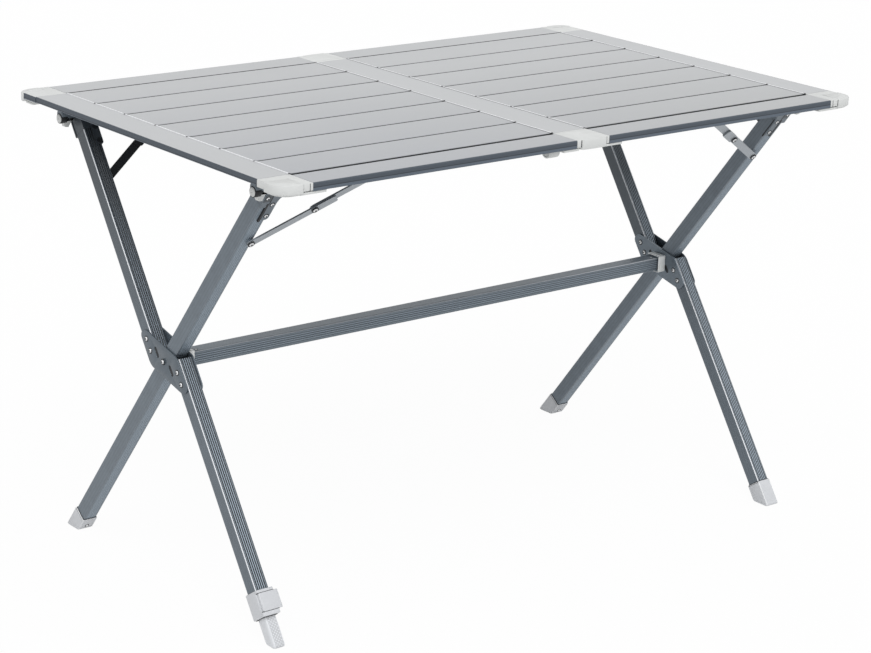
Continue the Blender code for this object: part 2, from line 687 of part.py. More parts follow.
def end_profile(name, side):
    """End profile with a thin outer rim and a ledge under the slats."""
    top, bottom = TABLE_HEIGHT, PROFILE_BOTTOM
    shelf, rim = bottom + LEDGE_THICKNESS, top - RIM_HEIGHT
    outer, inner = TABLE_LENGTH / 2, END_PROFILE_INNER
    step = outer - RIM_DEPTH
    outline = [(inner, top), (inner, shelf), (inner - LEDGE_DEPTH, shelf), (inner - LEDGE_DEPTH, bottom),
               (step, bottom), (step, rim), (outer, rim), (outer, top)]
    outline = rounded(outline, [0, 0, 0, 0, 0, 0, 0.001, 0.001])
    loops = [outline,
             rectangle(step, rim + SLAT_WALL, outer - SLAT_WALL, top - SLAT_WALL),
             rectangle(inner + SLAT_WALL, bottom + SLAT_WALL, step - SLAT_WALL, top - SLAT_WALL)]
    loops = [[(side * x, z) for x, z in loop] for loop in loops]
    reach = GAP_LINE - SEAT_GAP
    extruded(name, loops, -reach, reach, None, ALONG_Y, SILVER)


def middle_profile(name):
    """Middle profile with a ledge under the slats on both sides."""
    top, bottom, edge = TABLE_HEIGHT, PROFILE_BOTTOM, MIDDLE_PROFILE_EDGE
    shelf, rib = bottom + LEDGE_THICKNESS, SLAT_WALL / 2
    half = [(edge + LEDGE_DEPTH, bottom), (edge + LEDGE_DEPTH, shelf), (edge, shelf), (edge, top)]
    outline = half + [(-x, z) for x, z in reversed(half)]
    loops = [outline]
    for sign in (1, -1):
        low, high = sorted((sign * rib, sign * (edge - SLAT_WALL)))
        loops.append(rectangle(low, bottom + SLAT_WALL, high, top - SLAT_WALL))
    reach = GAP_LINE - SEAT_GAP
    extruded(name, loops, -reach, reach, None, ALONG_Y, SILVER)


def profiles():
    """Three cross profiles that carry the slats' ends."""
    end_profile("profile_left", -1)
    middle_profile("profile_middle")
    end_profile("profile_right", 1)


def hook(cap, x_low, x_high, sign_y):
    """Tongue of a cap under the edge slat, on a foot below the cap."""
    middle = sign_y * (TABLE_WIDTH / 2 + GAP_LINE) / 2
    top = TABLE_HEIGHT - SLAT_THICKNESS - SEAT_GAP
    outline = rectangle(x_low, middle - HOOK_WIDTH / 2, x_high, middle + HOOK_WIDTH / 2)
    join(cap, extruded(cap.name + "_hook", [outline], top - HOOK_THICKNESS, top))


def corner_cap(name, side, sign_y):
    """Corner piece with thin collars and a deeper bumper that stands proud of both edges."""
    inner_x, end_x = END_PROFILE_INNER, TABLE_LENGTH / 2
    inner_y, end_y = GAP_LINE, TABLE_WIDTH / 2
    top, collar, bulge = TABLE_HEIGHT, CAP_COLLAR, CAP_BULGE
    outline = [(inner_x, inner_y), (end_x, inner_y), (end_x, end_y), (inner_x, end_y)]
    points = [(side * x, sign_y * y) for x, y in rounded(outline, [0, 0, CAP_CORNER_RADIUS, 0], 5)]
    cap = extruded(name, [points], top - CAP_COLLAR_HEIGHT, top - SEAT_GAP, None, Matrix(), PALE)
    outline = [(inner_x + collar, inner_y + collar), (end_x + bulge, inner_y + collar),
               (end_x + bulge, end_y + bulge), (inner_x + collar, end_y + bulge)]
    radii = [0.002, 0.002, CAP_CORNER_RADIUS, 0.002]
    points = [(side * x, sign_y * y) for x, y in rounded(outline, radii, 5)]
    join(cap, extruded(name + "_bumper", [points], top - CAP_HEIGHT, top))
    low, high = sorted((side * (inner_x + collar + 0.004), side * (inner_x - HOOK_LENGTH)))
    hook(cap, low, high, sign_y)


def middle_cap(name, sign_y):
    """End piece of the middle profile, bulged outward."""
    edge, inner_y, end_y = MIDDLE_PROFILE_EDGE, GAP_LINE, TABLE_WIDTH / 2
    steps = 6
    outline = [(-edge, inner_y), (edge, inner_y), (edge, end_y)]
    collar = edge - CAP_COLLAR / 2
    for step in range(steps + 1):
        x = collar * (1 - 2 * step / steps)
        outline.append((x, end_y + CAP_BULGE * (0.4 + 0.6 * sin(pi * step / steps))))
    outline.append((-edge, end_y))
    points = [(x, sign_y * y) for x, y in outline]
    cap = extruded(name, [points], TABLE_HEIGHT - CAP_HEIGHT, TABLE_HEIGHT, None, Matrix(), PALE)
    hook(cap, -edge - HOOK_LENGTH, edge + HOOK_LENGTH, sign_y)


def tabletop():
    """Slats, cross profiles and caps."""
    slats()
    profiles()
    for sign_y, place_name in ((-1, "front"), (1, "rear")):
        corner_cap("cap_%s_left" % place_name, -1, sign_y)
        corner_cap("cap_%s_right" % place_name, 1, sign_y)
        middle_cap("cap_%s_middle" % place_name, sign_y)


def leg_set(label, side):
    """Crossed legs of one end, with arms, stays and feet."""
    cross = Leg("cross_" + label, side, False)
    split = Leg("split_" + label, side, True)
    cross_leg("cross_leg_" + label, cross, plain_foot("foot_rear_" + label, cross))
    if side > 0:
        split_leg(label, split, plain_foot("foot_front_" + label, split))
    else:
        clamp = Clamp(split)
        split_leg(label, split, clamp.tube_end)
        foot_clamp(split, clamp)
        foot_lever(split, clamp)
        adjustable_foot(split, clamp)
    outer_plate(label, split)
    inner_plate(label, split)
    for leg, end in ((cross, "front_"), (split, "rear_")):
        bracket("bracket_" + end + label, leg)
        support_arm("arm_" + end + label, leg)
        stay(end + label, leg)


def smooth_round_pieces():
    """Shade every piece smooth except across its sharp edges."""
    for thing in TABLE.objects:
        if thing.type == 'MESH':
            thing.data.shade_smooth()
            thing.data.set_sharp_from_angle(angle=0.6)


tabletop()
leg_set("left", -1)
leg_set("right", 1)
bar()
smooth_round_pieces()
print("cross leg %.2f deg, split leg %.2f deg" % (degrees(CROSS_TILT), degrees(SPLIT_TILT)))
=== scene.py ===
"""Folding aluminium camping table, dressed for a picture and laid out as an add-on.

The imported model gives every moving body. X runs along the long side, Y towards
the rear and Z up, in metres. A leg's own directions are inward from its centre
line, up along it from the pivot, and out to the face that carries the stay.
"""
from math import asin, atan2, cos, hypot, pi, radians, sin

import bmesh
import bpy
from mathutils import Matrix, Vector


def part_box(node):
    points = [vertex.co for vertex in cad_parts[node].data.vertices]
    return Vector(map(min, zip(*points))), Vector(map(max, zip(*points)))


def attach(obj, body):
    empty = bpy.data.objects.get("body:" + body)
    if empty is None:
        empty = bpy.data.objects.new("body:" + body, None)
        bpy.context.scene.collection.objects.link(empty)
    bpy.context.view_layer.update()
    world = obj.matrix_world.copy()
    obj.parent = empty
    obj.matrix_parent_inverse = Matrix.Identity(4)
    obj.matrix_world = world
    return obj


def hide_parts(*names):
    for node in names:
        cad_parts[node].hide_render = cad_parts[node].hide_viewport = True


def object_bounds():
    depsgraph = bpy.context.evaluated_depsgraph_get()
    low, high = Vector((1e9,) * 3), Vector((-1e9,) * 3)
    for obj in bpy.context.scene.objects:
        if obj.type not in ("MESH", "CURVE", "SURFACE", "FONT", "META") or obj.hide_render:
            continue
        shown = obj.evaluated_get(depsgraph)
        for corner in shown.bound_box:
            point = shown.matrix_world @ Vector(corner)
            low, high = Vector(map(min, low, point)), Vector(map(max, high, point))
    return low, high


bl_info = {
    "name": "Folding Camping Table",
    "version": (1, 0, 0),
    "blender": (4, 5, 0),
    "location": "3D View > Sidebar > Table",
    "description": "Finishes and small parts of a folding aluminium camping table",
    "category": "Object",
}

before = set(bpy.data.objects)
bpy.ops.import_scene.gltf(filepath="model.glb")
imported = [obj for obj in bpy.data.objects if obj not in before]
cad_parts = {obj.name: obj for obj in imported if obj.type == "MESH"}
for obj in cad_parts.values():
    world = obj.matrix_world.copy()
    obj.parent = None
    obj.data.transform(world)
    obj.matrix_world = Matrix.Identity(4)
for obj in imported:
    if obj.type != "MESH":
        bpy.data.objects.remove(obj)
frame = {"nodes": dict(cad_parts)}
CAD_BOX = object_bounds()
NODES = frame["nodes"]

SIDES = ((-1, "left"), (1, "right"))

SEAT_GAP = 0.0003
SINK = 0.0002
CREASE = radians(35)
TINY = 1e-6

TABLE_HEIGHT = CAD_BOX[1].z
HALF_LENGTH = 0.550
HALF_WIDTH = 0.350
SLAT_COUNT = 9
SLAT_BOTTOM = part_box("slat_left_1")[0].z
SLAT_END = -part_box("slat_left_1")[0].x
SLAT_START = -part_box("slat_left_1")[1].x
SLAT_PITCH = 0.0845
GAP_LINE = 0.29575
PROFILE_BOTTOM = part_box("profile_middle")[0].z
ARM_REST_Y = 0.2575
ARM_REST_HEIGHT = 0.6615

PIVOT_HEIGHT = 0.35504
FOOT_REACH = 0.2765
LEG_CENTRE_X = 0.497
SPLIT_OFFSET = 0.026
TUBE_HALF_WIDTH = 0.0115
TUBE_HALF_DEPTH = 0.0125
CROSS_TILT = atan2(PIVOT_HEIGHT, FOOT_REACH)
SPLIT_TILT = CROSS_TILT + asin(SPLIT_OFFSET / hypot(PIVOT_HEIGHT, FOOT_REACH))
FLUTE_PITCH = 0.0034
BAR_FLUTE_PITCH = 0.0032
BAR_HALF_HEIGHT = 0.011
BUTTON_X = 0.4585

PLATE_THICKNESS = 0.0022
PLATE_REACH = TUBE_HALF_WIDTH + SEAT_GAP + PLATE_THICKNESS
PLATE_RIVETS = ((0.0455, 0.0262), (0.0265, 0.0262))
SLOT_PLACE = (0.0185, 0.011)

SHEET = 0.0023
HINGE_INSET = 0.050
HINGE_X = LEG_CENTRE_X - HINGE_INSET
ARM_RADIUS = 0.008
ARM_HEIGHT = PROFILE_BOTTOM - SEAT_GAP - ARM_RADIUS
ARM_OUTER_END = 0.530
ARM_OUTER_INSET = HINGE_INSET - (ARM_OUTER_END - HINGE_X)
ARM_INNER_INSET = HINGE_INSET + (HINGE_X - 0.012)
STAY_HEAD_INSET = 0.171
STAY_FOOT_INSET = 0.006
STAY_FOOT_DROP = 0.116
BRACKET_STRIP = 0.0073

FOOT_WALL = 0.0016
FOOT_COLLAR = 0.030
CLAMP_RISE = 0.044
CLAMP_LENGTH = 0.039
CLAMP_SIDE_WALL = 0.0032
CLAMP_FRONT_WALL = 0.0022
LEVER_DROP = 0.0048
LEVER_LENGTH = 0.0275
LEVER_DEPTH = 0.0038
SLIDE_OVERLAP = 0.036


class TableSizes(bpy.types.PropertyGroup):
    """Sizes of the small parts."""
    rivet_radius: bpy.props.FloatProperty(
        name="Rivet Radius", description="Radius of a rivet's head",
        default=0.0031, unit='LENGTH')
    edge_radius: bpy.props.FloatProperty(
        name="Edge Radius", description="Rounding of moulded plastic edges",
        default=0.0015, unit='LENGTH')
    lip_width: bpy.props.FloatProperty(
        name="Lip Width", description="Width of the lip along a cross profile",
        default=0.0022, unit='LENGTH')
    lip_height: bpy.props.FloatProperty(
        name="Lip Height", description="Height of the lip above the slats",
        default=0.0007, unit='LENGTH')


class TableColours(bpy.types.PropertyGroup):
    """Colours of the finishes."""
    slat: bpy.props.FloatVectorProperty(
        name="Slats", description="Anodised aluminium of the slats", subtype='COLOR',
        size=3, default=(0.475, 0.486, 0.498))
    slat_edge: bpy.props.FloatVectorProperty(
        name="Slat Edges", description="Dark anodised outer edge of the top", subtype='COLOR',
        size=3, default=(0.070, 0.088, 0.112))
    profile: bpy.props.FloatVectorProperty(
        name="Cross Profiles", description="Satin aluminium of the cross profiles", subtype='COLOR',
        size=3, default=(0.500, 0.512, 0.524))
    # the lip colour is a painted highlight on the profiles' rounded edge
    lip: bpy.props.FloatVectorProperty(
        name="Lips", description="Bright cut edge of the cross profiles", subtype='COLOR',
        size=3, default=(0.86, 0.87, 0.89))
    frame: bpy.props.FloatVectorProperty(
        name="Frame", description="Slate grey finish of the legs and the bar", subtype='COLOR',
        size=3, default=(0.120, 0.145, 0.170))
    stay: bpy.props.FloatVectorProperty(
        name="Stays", description="Steel of the folding stays", subtype='COLOR',
        size=3, default=(0.32, 0.345, 0.37))
    rivet: bpy.props.FloatVectorProperty(
        name="Rivets", description="Bright rivets and screws", subtype='COLOR',
        size=3, default=(0.80, 0.81, 0.82))
    cap: bpy.props.FloatVectorProperty(
        name="Caps", description="Pale moulded plastic of the top's corners", subtype='COLOR',
        size=3, default=(0.655, 0.668, 0.662))
    foot: bpy.props.FloatVectorProperty(
        name="Feet", description="Pale moulded plastic of the feet", subtype='COLOR',
        size=3, default=(0.60, 0.615, 0.64))
    dark: bpy.props.FloatVectorProperty(
        name="Dark Plastic", description="Nearly black plastic and shadowed holes", subtype='COLOR',
        size=3, default=(0.012, 0.014, 0.017))


def sizes():
    """The sizes set in the panel."""
    return bpy.context.scene.table_sizes


def colours():
    """The colours set in the panel."""
    return bpy.context.scene.table_colours


# Shaders

class Value:
    """A number inside a shader, with arithmetic."""

    def __init__(self, maker, socket):
        self.maker = maker
        self.socket = socket

    def _with(self, operation, first, second):
        node = self.maker.node("ShaderNodeMath", {"operation": operation}, {0: first, 1: second})
        return Value(self.maker, node.outputs[0])

    def __add__(self, other):
        return self._with('ADD', self, other)

    def __radd__(self, other):
        return self._with('ADD', other, self)

    def __sub__(self, other):
        return self._with('SUBTRACT', self, other)

    def __rsub__(self, other):
        return self._with('SUBTRACT', other, self)

    def __mul__(self, other):
        return self._with('MULTIPLY', self, other)

    def __rmul__(self, other):
        return self._with('MULTIPLY', other, self)

    def __truediv__(self, other):
        return self._with('DIVIDE', self, other)

    def size(self):
        """Without its sign."""
        return self._with('ABSOLUTE', self, 0.0)

    def part(self):
        """What is left over a whole number."""
        return self._with('FRACT', self, 0.0)

    def off_half(self):
        """How far the part over a whole number lies from a half."""
        return (self.part() - 0.5).size()

    def larger(self, other):
        """The larger of two."""
        return self._with('MAXIMUM', self, other)

    def ramp(self, low, high, start=0.0, end=1.0):
        """From the start at the low end to the end at the high end, held beyond them."""
        given = {0: self, 1: low, 2: high, 3: start, 4: end}
        return Value(self.maker, self.maker.node("ShaderNodeMapRange", {"clamp": True}, given).outputs[0])

    def band(self, rise, fall):
        """One between a rising and a falling ramp, and zero outside them."""
        return self.ramp(*rise) * (1.0 - self.ramp(*fall))


class Shader:
    """A tree of shader nodes under way."""

    def __init__(self, tree):
        self.tree = tree

    def node(self, kind, settings=None, inputs=None):
        """Add a node, with its settings made before its sockets are set."""
        made = self.tree.nodes.new(kind)
        for key, setting in (settings or {}).items():
            setattr(made, key, setting)
        for key, given in (inputs or {}).items():
            self.link(given, made.inputs[key])
        return made

    def link(self, given, socket):
        """Feed a value, a link or a plain number to a socket."""
        if isinstance(given, Value):
            given = given.socket
        if isinstance(given, bpy.types.NodeSocket):
            self.tree.links.new(given, socket)
        else:
            socket.default_value = given

    def seen(self):
        """More than zero for what the eye sees, by itself or by a mirror or glass."""
        light = self.node("ShaderNodeLightPath")
        camera, glossy, through = [Value(self, light.outputs["Is %s Ray" % kind])
                                   for kind in ("Camera", "Glossy", "Transmission")]
        return camera + glossy + through


class Finish(Shader):
    """A material under way, with its Principled shader."""

    def __init__(self, name, roughness, metallic=0.0, specular=0.5):
        self.material = bpy.data.materials.new(name)
        self.material.use_nodes = True
        super().__init__(self.material.node_tree)
        self.shader = self.tree.nodes["Principled BSDF"]
        self.set("Roughness", roughness)
        self.set("Metallic", metallic)
        self.set("Specular IOR Level", specular)
        self.place = self.node("ShaderNodeTexCoord").outputs["Object"]

    def set(self, name, given):
        """Feed one of the shader's own sockets."""
        self.link(given, self.shader.inputs[name])

    def axis(self, letter):
        """One coordinate of the object's place, in metres."""
        node = self.node("ShaderNodeSeparateXYZ", None, {0: self.place})
        return Value(self, node.outputs["XYZ".index(letter)])

    def noise(self, scale, stretch=(1, 1, 1), detail=2.0, rough=0.5):
        """Noise from zero to one, stretched along the axes."""
        spread = self.node("ShaderNodeVectorMath", {"operation": 'MULTIPLY'}, {0: self.place, 1: stretch})
        node = self.node("ShaderNodeTexNoise", None,
                         {"Vector": spread.outputs[0], "Scale": scale, "Detail": detail, "Roughness": rough})
        return Value(self, node.outputs["Fac"])

    def blend(self, factor, first, second):
        """A colour between two others."""
        node = self.node("ShaderNodeMix", {"data_type": 'RGBA'}, {0: factor, 6: first, 7: second})
        return node.outputs[2]

    def bump(self, height, distance, strength=0.4):
        """Raise the surface by a height in metres."""
        given = {"Height": height, "Distance": distance, "Strength": strength}
        self.set("Normal", self.node("ShaderNodeBump", None, given).outputs[0])

    def grit(self, scale, detail, roughness, spread, depth):
        """Fine grain that roughens the surface and stands up from it."""
        grain = self.noise(scale, detail=detail)
        self.set("Roughness", roughness + grain * spread)
        self.bump(grain, depth)


def tone(colour, factor=1.0):
    """A colour made lighter or darker."""
    return tuple(min(1.0, part * factor) for part in colour[:3]) + (1.0,)


def top_finish(name, colour, stretch, letter, outer):
    """Satin anodised aluminium, brushed one way, slate grey outside, with painted shade on the faces under
    the top face.
    """
    made = Finish(name, 0.36, 0.5)
    rim = colours().slat_edge
    grain = made.noise(60, stretch, 4, 0.6)
    cloud = made.noise(3)
    light = made.blend(grain.ramp(0.3, 0.7), tone(colour, 0.97), tone(colour, 1.04))
    shade = made.blend(cloud.ramp(0.3, 0.75) * 0.35, light, tone(colour, 0.94))
    height = made.axis("Z")
    # painted shade: the faces under the top face, round the rounded edges and down the sides between the
    # slats, turn dark
    below_shade = 1.0 - height.ramp(TABLE_HEIGHT - 0.0012, TABLE_HEIGHT - 0.0003)
    if letter == "Y":
        shade, below_shade = slat_shading(made, colour, shade, below_shade)
    inside = made.blend(below_shade, shade, tone(colours().dark, 0.7))
    edge = made.axis(letter).size().ramp(outer - 0.0019, outer - 0.0011)
    under = 1.0 - height.ramp(SLAT_BOTTOM - 0.0002, SLAT_BOTTOM + 0.0002)
    level = height - (TABLE_HEIGHT - 0.0068)
    lower = made.blend(level.ramp(-0.0002, 0.0002), tone(rim, 1.35), tone(rim, 0.85))
    band = made.blend(level.size().ramp(0.0008, 0.0004), lower, tone(rim, 0.35))
    made.set("Base Color", made.blend(edge.larger(under), inside, band))
    made.set("Roughness", 0.32 + grain * 0.10 + cloud * 0.04 + below_shade * 0.15)
    made.set("Metallic", 0.5 - below_shade * 0.35)
    made.bump(grain, 0.00006, 0.5)
    return made.material


def slat_shading(made, colour, shade, below_shade):
    """Painted shade on the slats, deeper towards the front, the left and each slat's front, with painted
    shade along the lines between them.
    """
    # painted shade: a shadow tint, bluish on the left and neutral on the right, strongest at the front and
    # left of the top and at the front of each slat
    back = made.axis("Y") + GAP_LINE
    turn = (back / SLAT_PITCH).part()
    right = made.axis("X").ramp(-0.25, 0.35)
    blue = (colour[0] * 0.70, colour[1] * 0.72, colour[2] * 0.78, 1.0)
    neutral = (colour[0] * 0.72, colour[1] * 0.73, colour[2] * 0.72, 1.0)
    shadow = made.blend(right, blue, neutral)
    shade = made.blend(0.48 - back * 0.70 - turn * 0.16 - right * 0.10, shade, shadow)
    # painted shade along each line between the slats, wider at the front line
    gap_shade = ((back / SLAT_PITCH + 0.5).off_half() * SLAT_PITCH).ramp(0.0024, 0.0018)
    first = back.size().ramp(0.0044, 0.0038)
    return shade, below_shade.larger(gap_shade).larger(first)


def lip_highlight_finish(name, colour):
    """Milled edge of the cross profiles, its bright colour a painted highlight."""
    made = Finish(name, 0.35, 0.15)
    grain = made.noise(90, (9, 0.1, 9), 3, 0.6)
    made.set("Base Color", made.blend(grain.ramp(0.3, 0.7), tone(colour, 0.94), tone(colour, 1.04)))
    made.set("Roughness", 0.28 + grain * 0.14)
    return made.material


def frame_finish(name, colour, metallic=0.35, roughness=0.38):
    """Slate grey anodised surface with drawn streaks and fine grit."""
    made = Finish(name, roughness, metallic)
    streak = made.noise(70, (6, 1, 1), 3, 0.6)
    made.set("Base Color", drawn_colour(made, colour, streak))
    made.grit(2600, 1, roughness - 0.06 + streak * 0.08, 0.06, 0.00004)
    return made.material


def drawn_colour(made, colour, streak):
    """Streaks of the drawing die and soft clouds of the anodising."""
    cloud = made.noise(9, detail=3)
    base = made.blend(streak.ramp(0.3, 0.7), tone(colour, 0.92), tone(colour, 1.08))
    return made.blend(cloud.ramp(0.35, 0.75) * 0.4, base, tone(colour, 1.12))


def fluted_finish(name, colour, across, pitch, half, flute_shade, land_light, shine, flank=None, shade=None):
    """Drawn section with painted light on the lands and painted shade in its flutes, and a painted highlight
    on one corner.
    """
    made = Finish(name, 0.38, 0.35)
    place = across(made)
    wide = place.size()
    fluting = pitch * 2.42
    groove_shade = (place / pitch + 0.5).off_half().ramp(0.36, 0.28)
    zone = 1.0 - wide.ramp(fluting, pitch * 2.48)
    paint = drawn_colour(made, colour, made.noise(70, (6, 1, 1), 3, 0.6))
    # painted light on the lands between the flutes and painted shade in the flutes
    paint = made.blend(zone * 0.9, paint, tone(colour, land_light))
    paint = made.blend(groove_shade * zone, paint, tone(colour, flute_shade))
    # painted shadow from the tabletop over the fluted faces, deepening towards the top
    if shade:
        upper = made.axis("Z").ramp(*shade)
        paint = made.blend(upper * zone * 0.8, paint, tone(colour, 0.2))
    # painted shade on the smooth strips between the flutes and the corners
    shoulder_shade = wide.band((fluting, pitch * 2.5), (half - 0.0014, half - 0.0010))
    paint = made.blend(shoulder_shade * max(0.0, 0.6 - 0.6 * flute_shade), paint, tone(colour, 0.4))
    if flank:
        lines = (flank(made) / 0.0056).off_half().ramp(0.40, 0.48)
        sides = wide.ramp(half - 0.0004, half - 0.0002)
        paint = made.blend(lines * sides * 0.55, paint, tone(colour, 0.55))
    # the same painted shadow on the flanks
    if shade:
        upper = made.axis("Z").ramp(shade[0] - 0.10, shade[1])
        sides = wide.ramp(half - 0.0012, half - 0.0004)
        paint = made.blend(upper * sides * 0.75, paint, tone(colour, 0.3))
    # painted highlight along one corner: a leg's corner on the -X side, the bar's upper corner
    corner = (0.0 - place).band((half - 0.0014, half - 0.0012), (half - 0.0002, half - 0.0001))
    made.set("Base Color", made.blend(corner * shine, paint, (0.72, 0.74, 0.77, 1)))
    made.grit(2600, 1, 0.34, 0.1, 0.00004)
    return made.material


def leg_finish(name, colour, side, split):
    """Fluted finish of the cross or the split leg on one side of the table."""
    tilt = SPLIT_TILT if split else CROSS_TILT
    lean, rise = cos(tilt), sin(tilt) * (1 if split else -1)

    def across(made):
        return made.axis("X") - side * LEG_CENTRE_X

    def flank(made):
        out = made.axis("Y") * rise - (made.axis("Z") - PIVOT_HEIGHT) * lean
        return out.size() - SPLIT_OFFSET if split else out

    # the cross legs take a lighter copy of the frame colour and painted light on their fluted faces, with
    # only a faint painted highlight on the corner
    if not split:
        return fluted_finish(name, tone(colour, 1.12), across, FLUTE_PITCH, TUBE_HALF_WIDTH, 1.5, 2.0,
                             0.08, flank)
    # heights over which the painted shadow from the tabletop sets in
    shade = (0.36, 0.50) if side > 0 else (0.46, 0.60)
    return fluted_finish(name, colour, across, FLUTE_PITCH, TUBE_HALF_WIDTH, 0.05, 3.1, 1.0, flank, shade)


def bar_finish(name, colour):
    """Fluted finish of the bar, with a painted highlight along its upper corner."""
    return fluted_finish(name, colour, lambda made: PIVOT_HEIGHT - made.axis("Z"), BAR_FLUTE_PITCH,
                         BAR_HALF_HEIGHT, 0.73, 1.73, 0.5)


def plastic_finish(name, colour, roughness=0.48, tones=(0.95, 1.04), arris_highlight=False):
    """Moulded plastic with a fine spark-eroded grain, and on a foot a painted highlight along its rounded
    arrises.
    """
    made = Finish(name, roughness, 0.0, 0.45)
    cloud = made.noise(24, detail=3)
    paint = made.blend(cloud.ramp(0.3, 0.75), tone(colour, tones[0]), tone(colour, tones[1]))
    if arris_highlight:
        # painted highlight along the rounded corners either side of a leg's centre line
        across = (made.axis("X").size() - LEG_CENTRE_X).size()
        rim = across.band((0.0114, 0.0119), (0.0126, 0.0129))
        paint = made.blend(rim * 0.7, paint, (0.85, 0.86, 0.87, 1))
    made.set("Base Color", paint)
    made.grit(1800, 2, roughness - 0.05, 0.12, 0.00003)
    return made.material


def knurled_finish(name, colour):
    """Moulded plastic with a fine lattice pressed into its faces."""
    made = Finish(name, 0.42, 0.0, 0.45)
    pitch = 0.0052
    along = made.axis("Y") * cos(SPLIT_TILT) + made.axis("Z") * sin(SPLIT_TILT)
    across = made.axis("X")
    first, second = [(place / pitch).off_half().ramp(0.20, 0.32)
                     for place in (along + across, along - across)]
    inner = 1.0 - (across + LEG_CENTRE_X).size().ramp(0.0068, 0.0074)
    lattice = first.larger(second) * inner
    made.set("Base Color", made.blend(lattice * 0.9, tone(colour, 1.18), tone(colour, 0.84)))
    made.bump(lattice, 0.0002, 0.6)
    return made.material


def bright_finish(name, colour):
    """Turned bright metal of rivets and screws."""
    made = Finish(name, 0.25, 0.6)
    scuff = made.noise(900, detail=3)
    made.set("Base Color", made.blend(scuff.ramp(0.4, 0.75), tone(colour), tone(colour, 0.75)))
    made.set("Roughness", 0.2 + scuff * 0.18)
    made.bump(scuff, 0.00005)
    return made.material


MATERIALS = {}


def material(name):
    """The finish of that name, made the first time it is asked for."""
    if name not in MATERIALS:
        paint = colours()
        makers = {
            "slat": (top_finish, "slat_satin", paint.slat, (0.05, 9, 9), "Y", HALF_WIDTH),
            "profile": (top_finish, "profile_satin", paint.profile, (9, 0.05, 9), "X", HALF_LENGTH),
            "lip": (lip_highlight_finish, "lip_bright", paint.lip),
            "cross_left": (leg_finish, "cross_slate_left", paint.frame, -1, False),
            "cross_right": (leg_finish, "cross_slate_right", paint.frame, 1, False),
            "split_left": (leg_finish, "split_slate_left", paint.frame, -1, True),
            "split_right": (leg_finish, "split_slate_right", paint.frame, 1, True),
            # the bar takes a lighter copy of the frame colour as painted light
            "bar": (bar_finish, "bar_slate", tone(paint.frame, 1.28)),
            "frame": (frame_finish, "frame_slate", paint.frame),
            # a darker copy of the frame colour, as painted shade on the rear brackets and the cheeks
            "frame_shaded": (frame_finish, "frame_slate_rear", tone(paint.frame, 0.45), 0.3, 0.40),
            "plate": (frame_finish, "plate_slate", tone(paint.frame, 0.90), 0.4, 0.36),
            # a lighter copy of the plates' colour, as painted light on the inner plates
            "plate_inner": (frame_finish, "plate_slate_inner", tone(paint.frame, 1.2), 0.4, 0.36),
            "stay": (frame_finish, "stay_steel", paint.stay, 0.6, 0.34),
            # a near black copy of the stays' colour, as painted shade on the rear stays
            "stay_shaded": (frame_finish, "stay_black", tone(paint.stay, 0.12), 0.3, 0.42),
            "rivet": (bright_finish, "rivet_bright", paint.rivet),
            "cap": (plastic_finish, "cap_plastic", paint.cap),
            "foot": (plastic_finish, "foot_plastic", paint.foot, 0.42, (0.93, 1.02), True),
            "clamp": (plastic_finish, "clamp_plastic", paint.foot, 0.42),
            # a lighter copy of the caps' plastic, as painted light on the sockets in the shade under the top
            "socket": (plastic_finish, "socket_plastic", tone(paint.cap, 1.42), 0.40),
            "knurled": (knurled_finish, "foot_knurled", paint.foot),
            # nearly black plastic, also used as painted shade in joins, slots and round rivet heads
            "dark": (plastic_finish, "dark_plastic", paint.dark, 0.55),
        }
        maker, *given = makers[name]
        MATERIALS[name] = maker(*given)
    return MATERIALS[name]


def coat_node(node, name):
    """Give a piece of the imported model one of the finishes."""
    thing = NODES[node]
    thing.data.materials.clear()
    thing.data.materials.append(material(name))


# Modelling

def finish_piece(shape, name, look, body, replaced=()):
    """Write a finished shape to its own piece and let it ride on a body."""
    bmesh.ops.recalc_face_normals(shape, faces=shape.faces)
    mesh = bpy.data.meshes.new(name)
    shape.to_mesh(mesh)
    shape.free()
    mesh.shade_smooth()
    mesh.set_sharp_from_angle(angle=CREASE)
    mesh.materials.append(material(look))
    piece = bpy.data.objects.new(name, mesh)
    bpy.context.scene.collection.objects.link(piece)
    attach(piece, body)
    if replaced:
        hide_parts(*replaced)


def mould_node(shape, node, look, body):
    """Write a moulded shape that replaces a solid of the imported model."""
    finish_piece(shape, node + "_moulded", look, body, [node])


def absorb(shape, other, matrix=None):
    """Add another shape to this one, turned and placed, and hand this one back."""
    if matrix is not None:
        bmesh.ops.transform(other, matrix=matrix, verts=other.verts)
        if matrix.to_3x3().determinant() < 0:
            bmesh.ops.reverse_faces(other, faces=other.faces)
    mesh = bpy.data.meshes.new("part")
    other.to_mesh(mesh)
    other.free()
    shape.from_mesh(mesh)
    bpy.data.meshes.remove(mesh)
    return shape


def placed(shape, matrix):
    """A shape turned and placed on its own."""
    return absorb(bmesh.new(), shape, matrix)


def mirrored(shape, side, back):
    """A shape made at the rear right, brought to its own side and end."""
    return placed(shape, Matrix.Diagonal((side, back, 1, 1)))


def shift(x=0.0, y=0.0, z=0.0):
    """Move by a distance."""
    return Matrix.Translation((x, y, z))


def grow(shape, distance):
    """Draw the faces of a flat shape out along Z."""
    grown = bmesh.ops.extrude_face_region(shape, geom=shape.faces[:])
    fresh = [part for part in grown["geom"] if isinstance(part, bmesh.types.BMVert)]
    bmesh.ops.translate(shape, verts=fresh, vec=(0, 0, distance))
    bmesh.ops.recalc_face_normals(shape, faces=shape.faces)


def is_level(edge):
    """Whether both ends of an edge lie at one height."""
    return abs(edge.verts[0].co.z - edge.verts[1].co.z) < TINY


